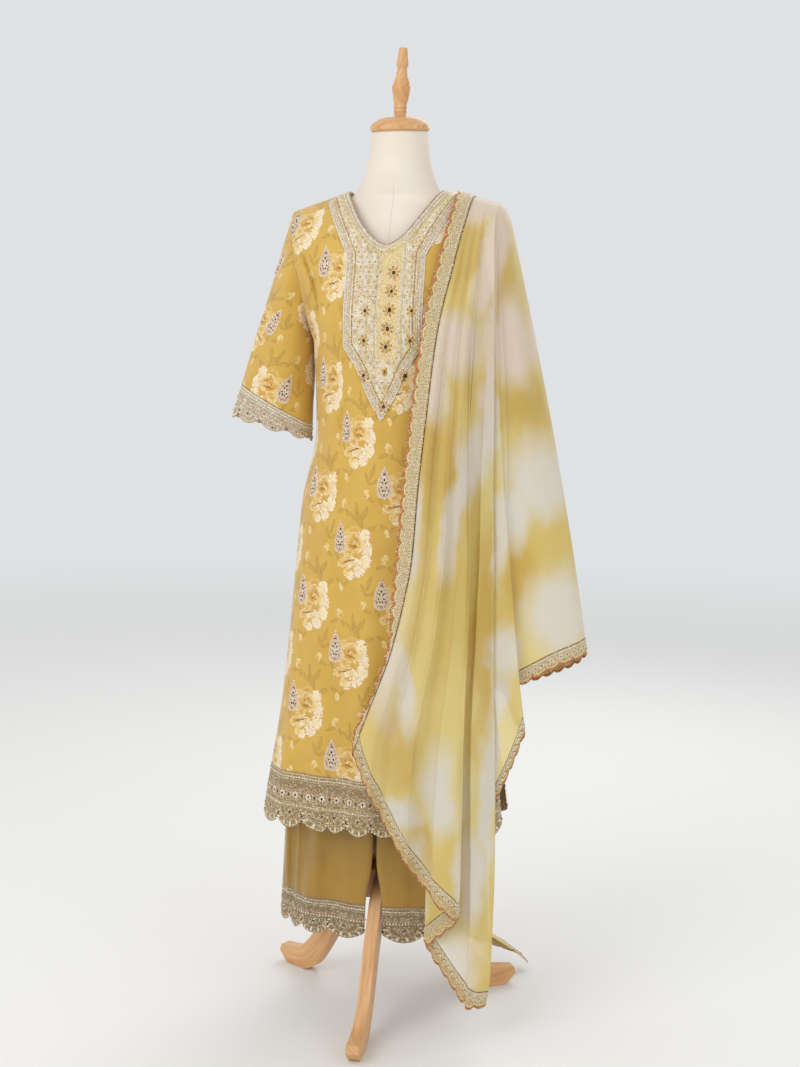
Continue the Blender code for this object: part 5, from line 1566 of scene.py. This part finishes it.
def stand():
    """The wooden parts: the neck's cap, the finial, the pole with its hub, and the three legs."""
    cap_place = Matrix.Translation((0, 0, NECK_TOP + SEAM)) @ Matrix.Rotation(NECK_SLANT, 4, "X")
    turned("neck_disc", [(r / 1000, z / 1000) for r, z in CAP_MM], 96, cap_place, "neck_cap")
    rise = FINIAL_MM[1][0] / 1000 * math.sin(FINIAL_LEAN)
    above = Matrix.Translation((0, 0, CAP_MM[-1][1] / 1000 + rise + SEAM))
    finial_place = cap_place @ above @ Matrix.Rotation(FINIAL_LEAN, 4, "Y")
    turned("finial_turning", [(r / 1000, z / 1000) for r, z in FINIAL_MM], 64, finial_place, "finial")
    outline = [
        (0, HUB_BOTTOM), (HUB_RADIUS - 0.006, HUB_BOTTOM), (HUB_RADIUS, HUB_BOTTOM + 0.005),
        (HUB_RADIUS, HUB_TOP - 0.008), (HUB_RADIUS - 0.010, HUB_TOP), (POLE_RADIUS, HUB_TOP + 0.004),
        (POLE_RADIUS, FORM_BOTTOM - SEAM), (0, FORM_BOTTOM - SEAM),
    ]
    turned("pole_and_hub", outline, 64, Matrix.Identity(4), "stand_column")
    for name, azimuth in LEG_AZIMUTHS.items():
        leg(name, azimuth)


def leg(name, azimuth):
    """A leg cut from a board, its upper and lower lines smooth, its arrises rounded."""
    middle = np.array([(bar.reach, bar.height) for bar in STAND_LEG])
    direction = np.gradient(middle, axis=0)
    direction /= np.linalg.norm(direction, axis=1, keepdims=True)
    across = np.stack([-direction[:, 1], direction[:, 0]], axis=1)
    across[0] = (0, 1)
    half = np.array([[bar.depth / 2] for bar in STAND_LEG])
    share = np.linspace(0, 1, 61)
    lines = middle + across * half, middle - across * half
    upper, lower = (np.stack([along(line[:, k], share) for k in (0, 1)], axis=-1) for line in lines)
    lower[:, 1] = np.maximum(lower[:, 1], 0)
    upper[:, 1] = np.maximum(upper[:, 1], lower[:, 1] + 0.001)
    turn = Matrix.Rotation(math.radians(azimuth), 4, "Z")
    mesh = bmesh.new()
    faces = []
    for x in (-LEG_THICKNESS / 2, LEG_THICKNESS / 2):
        cut = [[turn @ Vector((x, -r, z)) + Vector(POLE) for r, z in line] for line in (upper, lower)]
        faces.append([[mesh.verts.new(point) for point in line] for line in cut])
    for i in range(len(share) - 1):
        for side in faces:
            mesh.faces.new([side[0][i], side[0][i + 1], side[1][i + 1], side[1][i]])
        for line in (0, 1):
            mesh.faces.new([faces[0][line][i], faces[0][line][i + 1], faces[1][line][i + 1], faces[1][line][i]])
    for i in (0, len(share) - 1):
        mesh.faces.new([faces[0][0][i], faces[0][1][i], faces[1][1][i], faces[1][0][i]])
    bmesh.ops.recalc_face_normals(mesh, faces=mesh.faces[:])
    data = bpy.data.meshes.new("leg")
    mesh.to_mesh(data)
    mesh.free()
    line = np.stack([along(middle[:, k], share) for k in (0, 1)], axis=-1)
    run = run_length(line)
    side = np.gradient(line, axis=0)
    side /= np.linalg.norm(side, axis=1, keepdims=True)
    back = turn.inverted()
    layer = data.uv_layers.new(name="cloth").data
    for loop, spot in zip(data.loops, layer):
        x, y, z = back @ (data.vertices[loop.vertex_index].co - Vector(POLE))
        k = int(np.argmin((line[:, 0] + y) ** 2 + (line[:, 1] - z) ** 2))
        spot.uv = (x * 0.7 + (z - line[k, 1]) * side[k, 0] + (y + line[k, 0]) * side[k, 1] + azimuth, run[k])
    data.shade_smooth()
    obj = add_piece("leg_" + name, data, WOOD, ["stand_leg_" + name])
    bevel = obj.modifiers.new("rounded", "BEVEL")
    bevel.width = 0.0035
    bevel.segments = 3
    bevel.limit_method = "ANGLE"
    bevel.angle_limit = math.radians(50)
    bevel.harden_normals = True
    return obj


class Surface:
    """A piece's grid, and the frame on it at each place on its cloth."""

    def __init__(self, grid, texture, flip=False):
        if texture.shape[1] > grid.shape[1]:
            grid = np.concatenate([grid, grid[:, :1]], axis=1)
        self.grid, self.texture, self.side = grid, texture[..., :2], -1.0 if flip else 1.0
        self.slopes = [np.gradient(self.grid, axis=k) for k in (0, 1)]
        self.runs = [np.gradient(self.texture, axis=k) for k in (0, 1)]
        self.tree = KDTree(grid.shape[0] * grid.shape[1])
        for index, (u, v) in enumerate(self.texture.reshape(-1, 2).tolist()):
            self.tree.insert((u, v, 0), index)
        self.tree.balance()

    def frames(self, spots):
        """Points and their directions along, up and out of the cloth, and which spots are on it."""
        spots = np.asarray(spots, float).reshape(-1, 2)
        index = np.array([self.tree.find((u, v, 0))[1] for u, v in spots.tolist()])
        at = np.divmod(index, self.grid.shape[1])
        down, over = (slope[at] for slope in self.slopes)
        (a, b), (c, d) = (run[at].T for run in self.runs)
        whole = a * d - b * c
        whole = np.where(np.abs(whole) < 1e-14, 1e-14, whole)
        u, v = (spots - self.texture[at]).T
        rows, columns = (u * d - v * c) / whole, (v * a - u * b) / whole
        last_row, last_column = self.grid.shape[0] - 1, self.grid.shape[1] - 1
        off = (at[0] == 0) & (rows < -0.1) | (at[0] == last_row) & (rows > 0.1) | (np.abs(rows) > 3)
        off |= (at[1] == 0) & (columns < -0.1) | (at[1] == last_column) & (columns > 0.1) | (np.abs(columns) > 3)
        points = self.grid[at] + rows[:, None] * down + columns[:, None] * over
        out = self.side * np.cross(down, over)
        out /= np.linalg.norm(out, axis=1, keepdims=True) + 1e-12
        along_cloth = (d / whole)[:, None] * down - (b / whole)[:, None] * over
        along_cloth -= out * (along_cloth * out).sum(axis=1, keepdims=True)
        along_cloth /= np.linalg.norm(along_cloth, axis=1, keepdims=True) + 1e-12
        turned_up = np.cross(out, along_cloth) * np.sign(whole * self.side)[:, None]
        return points, along_cloth, turned_up, out, ~off


class Beads:
    """Beads sewn on a garment, gathered into one mesh for each colour."""

    def __init__(self, garment):
        self.garment = garment
        self.laid = {}
        self.random = np.random.RandomState(11)

    def lay(self, colour, surface, spots, size, stretch=1.0, turn=None, tall=0.75):
        """Lays a bead of half-width size at each spot; stretch makes it longer in its turn's direction."""
        points, along_cloth, up, out, on = surface.frames(spots)
        count = len(points)
        turn = np.zeros(count) if turn is None else np.asarray(turn, float) + np.zeros(count)
        turn = turn + self.random.normal(0, 0.08, count)
        cosine, sine = np.cos(turn)[:, None], np.sin(turn)[:, None]
        size = size * self.random.uniform(0.88, 1.1, count)[:, None]
        frames = np.stack([
            (along_cloth * cosine + up * sine) * size * stretch, (up * cosine - along_cloth * sine) * size,
            out * size * tall,
        ], axis=1)
        self.laid.setdefault(colour, []).append((points[on], frames[on]))

    def make(self):
        """Adds the meshes, with six-sided domes as beads."""
        turn = np.arange(6) * np.pi / 3
        rings = ((1, -0.1), (0.74, 0.62))
        rings = [np.stack([np.cos(turn) * r, np.sin(turn) * r, 0 * turn + z], axis=-1) for r, z in rings]
        form = np.concatenate([*rings, [(0, 0, 1)]])
        sides = [(k, (k + 1) % 6, 6 + (k + 1) % 6, 6 + k) for k in range(6)]
        tops = [(6 + k, 6 + (k + 1) % 6, 12) for k in range(6)]
        for colour, rows in self.laid.items():
            points = np.concatenate([row[0] for row in rows])
            frames = np.concatenate([row[1] for row in rows])
            places = points[:, None] + np.einsum("vk,nkx->nvx", form, frames) + POLE
            base = np.arange(len(points))[:, None, None] * len(form)
            faces = (base + np.array(sides)).reshape(-1, 4).tolist() + (base + np.array(tops)).reshape(-1, 3).tolist()
            data = bpy.data.meshes.new(colour)
            data.from_pydata(places.reshape(-1, 3).tolist(), [], faces)
            data.shade_smooth()
            add_piece(f"{self.garment}_beads_{colour}", data, BEAD_FINISHES[colour], [])


def ring_spots(middle, radius, count, start, squash=1.0):
    """Spots on a circle round a middle, and the turn of each. squash makes it an upright oval."""
    turn = start + np.arange(count) * 2 * np.pi / count
    return np.stack([middle[0] + radius * np.cos(turn), middle[1] + radius * squash * np.sin(turn)], axis=-1), turn


def drop_outline(middle, share, count, half_width, half_height):
    """Spots on a drop's outline scaled by share: pointed at its top, round at its base."""
    turn = (np.arange(count) + 0.5) * 2 * np.pi / count
    x = half_width * np.sin(turn) * np.abs(np.sin(turn / 2)) ** 1.1 * 1.12
    y = half_height * np.cos(turn)
    lower = -half_height * 0.22 * (1 - share)
    return np.stack([middle[0] + x * share, middle[1] + y * share + lower], axis=-1), np.arctan2(y, x)


def print_drops(beads, surface, low, high, left, right, free=None):
    """A beaded drop beside each printed rose. free says whether a spot of the cloth takes one."""
    first, last = (left - ROSE_AT[0]) / COLUMN_PITCH, (right - ROSE_AT[0]) / COLUMN_PITCH
    for column in range(math.floor(first), math.ceil(last) + 1):
        start = ROSE_AT[1] + (column % 2) * ROW_PITCH / 2
        for row in range(math.floor((low - start) / ROW_PITCH) - 1, math.ceil((high - start) / ROW_PITCH) + 1):
            middle = (ROSE_AT[0] + column * COLUMN_PITCH + DROP[0], start + row * ROW_PITCH + DROP[1])
            points, *_, on = surface.frames([middle])
            if not on[0] or (free and not free(points[0])):
                continue
            for share, count, colour, size, stretch in (
                (0.98, 30, "silver", 0.00135, 1.0), (0.76, 20, "rose", 0.0015, 1.5),
                (0.54, 13, "silver", 0.0014, 1.2), (0.36, 8, "dark", 0.0013, 1.7), (0.17, 5, "silver", 0.0016, 1.0),
            ):
                spots, turn = drop_outline(middle, share, count, DROP[2], DROP[3])
                beads.lay(colour, surface, spots, size, stretch, turn)
            spots, turn = drop_outline(middle, 0.66, 7, DROP[2], DROP[3])
            beads.lay("dark", surface, spots, 0.0011, 1.5, turn)


def bead_row(beads, colour, surface, start, end, level, pitch, size):
    """Lays a row of beads along a cloth at one level down from its seam."""
    along_row = np.arange(start, end, pitch)
    beads.lay(colour, surface, np.stack([along_row, 0 * along_row + level], axis=-1), size)


def flower(beads, surface, middle, radius, petals, petal="gold", rim="silver"):
    """An embroidered flower: long petals round a mirror, with a bead at each tip."""
    spots, turn = ring_spots(middle, radius * 0.62, petals, 0.2)
    beads.lay(petal, surface, spots, radius * 0.17, 1.9, turn, 0.6)
    for ring, start, size in ((1.0, 0.2, 0.13), (0.86, 0.2 + math.pi / petals, 0.12)):
        spots, _ = ring_spots(middle, radius * ring, petals, start)
        beads.lay(rim, surface, spots, radius * size)
    beads.lay("dark", surface, [middle], radius * 0.26, 1.25, [math.pi / 2], 0.5)


def border_beads(beads, grid, texture, flip, tall, scallop, shells):
    """Beads and mirrors of a wide border: two rows, a row of flowers, and the shells' arcs."""
    surface = Surface(grid, texture[..., :2], flip)
    end = texture[0, -1, 0]
    low = tall - shells
    for level in (FIRST_ROW, low - LAST_ROW):
        bead_row(beads, "silver", surface, BEAD_PITCH / 2, end, level, BEAD_PITCH, 0.0017)
    middle = (STRIPE_TOP + low) / 2
    if low - STRIPE_TOP > 0.03:
        for place in np.arange(0.0, end, FLOWER_PITCH):
            flower(beads, surface, (place, middle), 0.0075, 7, petal="silver", rim="gold")
            beads.lay("dark", surface, [(place + FLOWER_PITCH / 2, middle)], 0.0016, 1.6, [math.pi / 2])
            for level in (middle - 0.009, middle + 0.010):
                beads.lay("rose", surface, [(place + FLOWER_PITCH / 2, level)], 0.0017)
    else:
        bead_row(beads, "rose", surface, 0.0, end, middle, RING_PITCH, 0.0022)
        bead_row(beads, "gold", surface, RING_PITCH / 2, end, middle, RING_PITCH, 0.0015)
    phases = texture[0, :, 3]
    shell_surface = Surface(grid, np.stack([texture[..., 3] * scallop, texture[..., 1]], axis=-1), flip)
    for k in range(int(phases[-1] + 0.01) + 1):
        centre = ((k + 0.5) * scallop, low + 0.002)
        for share, count, colour, size in ((0.62, 9, "gold", 0.0013), (0.82, 12, "silver", 0.0013)):
            turn = np.linspace(0.12, 0.88, count) * np.pi
            spots = np.array(centre) + shells * share * np.stack([np.cos(turn), np.sin(turn)], axis=-1)
            beads.lay(colour, shell_surface, spots, size, 1.3, turn)
        heart = (centre[0], centre[1] + shells * 0.18)
        spots, _ = ring_spots(heart, shells * 0.13, 5, 0.3)
        beads.lay("silver", shell_surface, spots, 0.0013)
        beads.lay("dark", shell_surface, [heart], 0.0017, 1.3)
        beads.lay("dark", shell_surface, [(k * scallop, low + shells * 0.36)], 0.0018, 1.4, [math.pi / 2])


def lace_beads(beads, grid, texture, flip):
    """Beads of a lace: a row under its seam, and small flowers with a gold bead between them."""
    surface = Surface(grid, texture[..., :2], flip)
    end = texture[0, -1, 0]
    bead_row(beads, "silver", surface, LACE_BEAD_PITCH / 2, end, LACE_ROW, LACE_BEAD_PITCH, 0.0014)
    for place in np.arange(0.0, end, LACE_FLOWER_PITCH):
        spots, turn = ring_spots((place, 0.0128), 0.0037, 5, 0.3)
        beads.lay("silver", surface, spots, 0.0012, 1.4, turn)
        beads.lay("dark", surface, [(place, 0.0128)], 0.0010, 1.4, [math.pi / 2])
        beads.lay("gold", surface, [(place + LACE_FLOWER_PITCH / 2, 0.0192)], 0.0015)


def glitter(beads, surface, texture, count):
    """Tiny glints scattered over sheer cloth."""
    places = texture[..., :2].reshape(-1, 2)
    spots = beads.random.uniform(places.min(axis=0), places.max(axis=0), (count, 2))
    beads.lay("silver", surface, spots, 0.0007)


def offset_line(line, distance, pitch):
    """Evenly spaced spots at a distance to the right of a line that is seen from the front."""
    run = np.gradient(line, axis=0)
    run /= np.linalg.norm(run, axis=1, keepdims=True) + 1e-12
    moved = line + distance * np.stack([run[:, 1], -run[:, 0]], axis=-1)
    length = run_length(moved)
    at = np.arange(pitch / 2, length[-1], pitch)
    return np.stack([np.interp(at, length, moved[:, k]) for k in (0, 1)], axis=-1)


# Flowers of the yoke seen from the front: x, height, radius and number of petals.
YOKE_FLOWERS = [
    (0.0155, 1.3150, 0.0130, 8), (0.0135, 1.2830, 0.0130, 8), (0.0120, 1.2515, 0.0130, 8),
    (0.0095, 1.2200, 0.0130, 8), (0.0070, 1.1900, 0.0130, 8), (0.0045, 1.0900, 0.0130, 8),
    (-0.0300, 1.2500, 0.0110, 7), (-0.0310, 1.2000, 0.0110, 7), (-0.0310, 1.1420, 0.0130, 8),
    (0.0500, 1.2500, 0.0110, 7), (0.0480, 1.2000, 0.0110, 7), (0.0400, 1.1420, 0.0130, 8),
]
# Middle of the long gold drop among the lower ones.
YOKE_HEART = (0.0060, 1.1490)


def yoke_beads(beads, grids):
    """Bead rows, flowers and small sprigs of the yoke."""
    neck, outer = yoke_lines()
    surfaces = [Surface(grid, grid[..., [0, 2]]) for grid, *_ in grids]
    rows = [(neck, 0.0048, 0.0042, 0.00155, "silver"), (neck, 0.0102, 0.0042, 0.00155, "silver"),
            (outer, -0.0034, 0.0042, 0.00155, "silver"), (outer, -0.0088, 0.0042, 0.00140, "silver"),
            (outer, -0.0162, 0.0050, 0.00130, "gold")]
    for line, distance, pitch, size, colour in rows:
        spots = offset_line(line, distance, pitch)
        for surface in surfaces:
            beads.lay(colour, surface, spots, size)
    middle = surfaces[1]
    for across in (-0.0105, 0.0305):
        levels = np.arange(1.165, 1.350, 0.0042)
        spots = np.stack([0 * levels + across + (levels - 1.25) * 0.07, levels], axis=-1)
        beads.lay("silver", middle, spots, 0.0014)
    taken = []
    for x, z, radius, petals in YOKE_FLOWERS:
        flower(beads, middle, (x, z), radius, petals)
        taken.append((x, z, radius + 0.0015))
    beads.lay("gold", middle, [YOKE_HEART], 0.0045, 2.0, [math.pi / 2], 0.4)
    beads.lay("dark", middle, [YOKE_HEART], 0.0022, 1.6, [math.pi / 2], 1.2)
    spots, _ = ring_spots(YOKE_HEART, 0.0080, 14, 0.0, 1.7)
    beads.lay("silver", middle, spots, 0.0014)
    taken.append((*YOKE_HEART, 0.0120))
    pitch = 0.0098
    for row in range(48):
        for column in range(-12, 13):
            x = column * pitch + (row % 2) * pitch / 2 + 0.002
            z = 1.045 + row * pitch * 0.866
            apart = min(math.hypot(x - a, z - b) - r for a, b, r in taken)
            edge = min(np.hypot(*(line - (x, z)).T).min() for line in (neck, outer))
            if apart < 0.0035 or edge < 0.0135 or (abs(x - 0.010 - (z - 1.25) * 0.07) < 0.0215 and z > 1.17):
                continue
            angle = (row * 5 + column * 3) % 7 * 0.45
            for surface in surfaces:
                beads.lay("gold", surface, [(x, z)], 0.00125, 1.9, [angle])
                spots, _ = ring_spots((x, z), 0.0036, 6, angle)
                beads.lay("rose" if (row + column) % 3 == 0 else "silver", surface, spots, 0.0011)


def yoke_lines():
    """The yoke's neckline and outer edge seen from the front, each from the wearer's right to the left."""
    across = np.linspace(-YOKE_NECK, YOKE_NECK, 241)
    neck = kameez_point(across, kameez_top(across, "front"), "front", YOKE_OUT)[:, [0, 2]]
    outer = []
    parts = [
        (-YOKE_BAND, -YOKE_MIDDLE, 60, 0), (-YOKE_MIDDLE, YOKE_MIDDLE, 160, 1), (YOKE_MIDDLE, YOKE_BAND, 60, 0),
    ]
    for start, end, count, lower in parts:
        part = np.linspace(start, end, count)
        outer.append(kameez_point(part, yoke_low(part)[lower], "front", YOKE_OUT)[:, [0, 2]])
    for index, sign, levels in ((1, -1, np.linspace(1.345, 1.190, 50)), (3, 1, np.linspace(1.190, 1.345, 50))):
        outer.insert(index, kameez_point(np.full(50, sign * YOKE_MIDDLE), levels, "front", YOKE_OUT)[:, [0, 2]])
    outer = np.concatenate(outer)
    kept = np.concatenate([[True], np.linalg.norm(np.diff(outer, axis=0), axis=1) > 1e-5])
    return neck, outer[kept]


def floor_and_light():
    """The pale studio: its floor, its even light all round, and three soft lamps."""
    bpy.context.scene.view_settings.view_transform = "Standard"
    bpy.ops.mesh.primitive_plane_add(size=80, location=(POLE[0], POLE[1], 0))
    floor = bpy.context.object
    floor.name = "floor"
    floor.data.materials.append(FLOOR)
    world = bpy.data.worlds.new("studio")
    world.use_nodes = True
    world.node_tree.nodes["Background"].inputs[0].default_value = (*BACKGROUND, 1)
    world.node_tree.nodes["Background"].inputs[1].default_value = BACKGROUND_LIGHT
    bpy.context.scene.world = world
    lights = [
        ("key", (-1.6, -2.6, 2.6), 2.0, 38, (1.0, 0.975, 0.94)),
        ("fill", (2.6, -2.0, 1.6), 2.2, 11, (0.95, 0.97, 1.0)),
        ("back", (0.6, 2.4, 2.8), 2.0, 26, (1.0, 0.99, 0.97)),
    ]
    for name, place, size, power, colour in lights:
        light = bpy.data.lights.new(name, "AREA")
        light.size = size
        light.energy = power
        light.color = colour
        obj = bpy.data.objects.new(name, light)
        obj.location = Vector(place) + Vector(POLE)
        aim = Vector((0, 0, 0.95)) + Vector(POLE) - obj.location
        obj.rotation_euler = aim.to_track_quat("-Z", "Y").to_euler()
        bpy.context.scene.collection.objects.link(obj)


def camera():
    """The photograph's view: a camera 2.3 m from the pole, turned to the wearer's left of the front."""
    distance, height, focal, shift = 2.3, 1.053, 1281.9, -7.69
    yaw, pitch, roll = (math.radians(a) for a in (10.97, 4.67, 1.13))
    image_height, sensor = 1067, 36
    eye = Vector(POLE) + Vector((distance * math.sin(yaw), -distance * math.cos(yaw), height))
    forward = Vector((-math.sin(yaw) * math.cos(pitch), math.cos(yaw) * math.cos(pitch), -math.sin(pitch)))
    right = forward.cross(Vector((0, 0, 1))).normalized()
    up = right.cross(forward)
    level, tilted = math.cos(roll), math.sin(roll)
    place = Matrix((right * level + up * tilted, up * level - right * tilted, -forward)).transposed().to_4x4()
    place.translation = eye
    data = bpy.data.cameras.new("camera")
    data.sensor_fit = "VERTICAL"
    data.sensor_height = sensor
    data.lens = sensor * focal / image_height
    data.shift_x = -shift / image_height
    obj = bpy.data.objects.new("camera", data)
    obj.matrix_world = place
    bpy.context.scene.collection.objects.link(obj)
    bpy.context.scene.camera = obj


YOKE_LINES = yoke_outline()


def main():
    """Builds the scene."""
    camera()
    floor_and_light()
    dress_form()
    stand()
    kameez = Beads("kameez")

    def front_free(point):
        """Whether a spot of the front lies beside the yoke and takes a drop."""
        x, _, z = point
        return abs(x - 0.008) > min(0.022 + (z - 1.06) * 0.75, 0.098)

    yoke_grids = neck_yoke()
    yoke = add_piece("yoke_embroidery", grid_mesh("yoke", yoke_grids), YOKE, ["neck_yoke"])
    yoke_beads(kameez, yoke_grids)
    for side in ("front", "back"):
        cloth, grid, texture = kameez_panel(f"kameez_{side}_cloth", side, ["kameez_" + side])
        flip = side == "back"
        surface = Surface(grid, texture, flip)
        sides = texture[..., 0].min(), texture[..., 0].max()
        free = front_free if side == "front" else None
        print_drops(kameez, surface, 0, texture[0, :, 1].max(), *sides, free)
        name, replaced = "kameez_border_" + side, ["kameez_hem_" + side]
        border_cloth, border_grid, border_texture = kameez_hem(name, side, replaced)
        border_beads(kameez, border_grid, border_texture, flip, *HEM_SIZES)
    for side, outer, columns, rows in (("right", SLEEVE_HEM_OUTER, 96, 100), ("left", COVERED_HEM_OUTER, 72, 60)):
        cloth, cuff, grid, texture, cuff_grid, cuff_texture = sleeve(side, outer, columns, rows)
        flip = side == "right"
        if side == "right":
            print_drops(kameez, Surface(grid, texture, flip), 0, texture[0, :, 1].max(), 0, texture[..., 0].max())
        border_beads(kameez, cuff_grid, cuff_texture, flip, *CUFF_SIZES)
    kameez.make()
    trousers = Beads("trousers")
    for side in ("left", "right"):
        cloth, hem, grid, texture = trouser_leg(side)
        border_beads(trousers, grid, texture, side == "right", *TROUSER_SIZES)
    trousers.make()
    waistband()
    dupatta = Beads("dupatta")
    for side in ("front", "back"):
        made, grid, texture, laces = fall(side)
        glitter(dupatta, Surface(grid, texture, side == "back"), texture, 420)
        for grid, texture, flip in laces:
            lace_beads(dupatta, grid, texture, flip)
    over, lace, over_grid, over_texture = dupatta_side()
    lace_beads(dupatta, over_grid, over_texture, False)
    dupatta.make()


main()
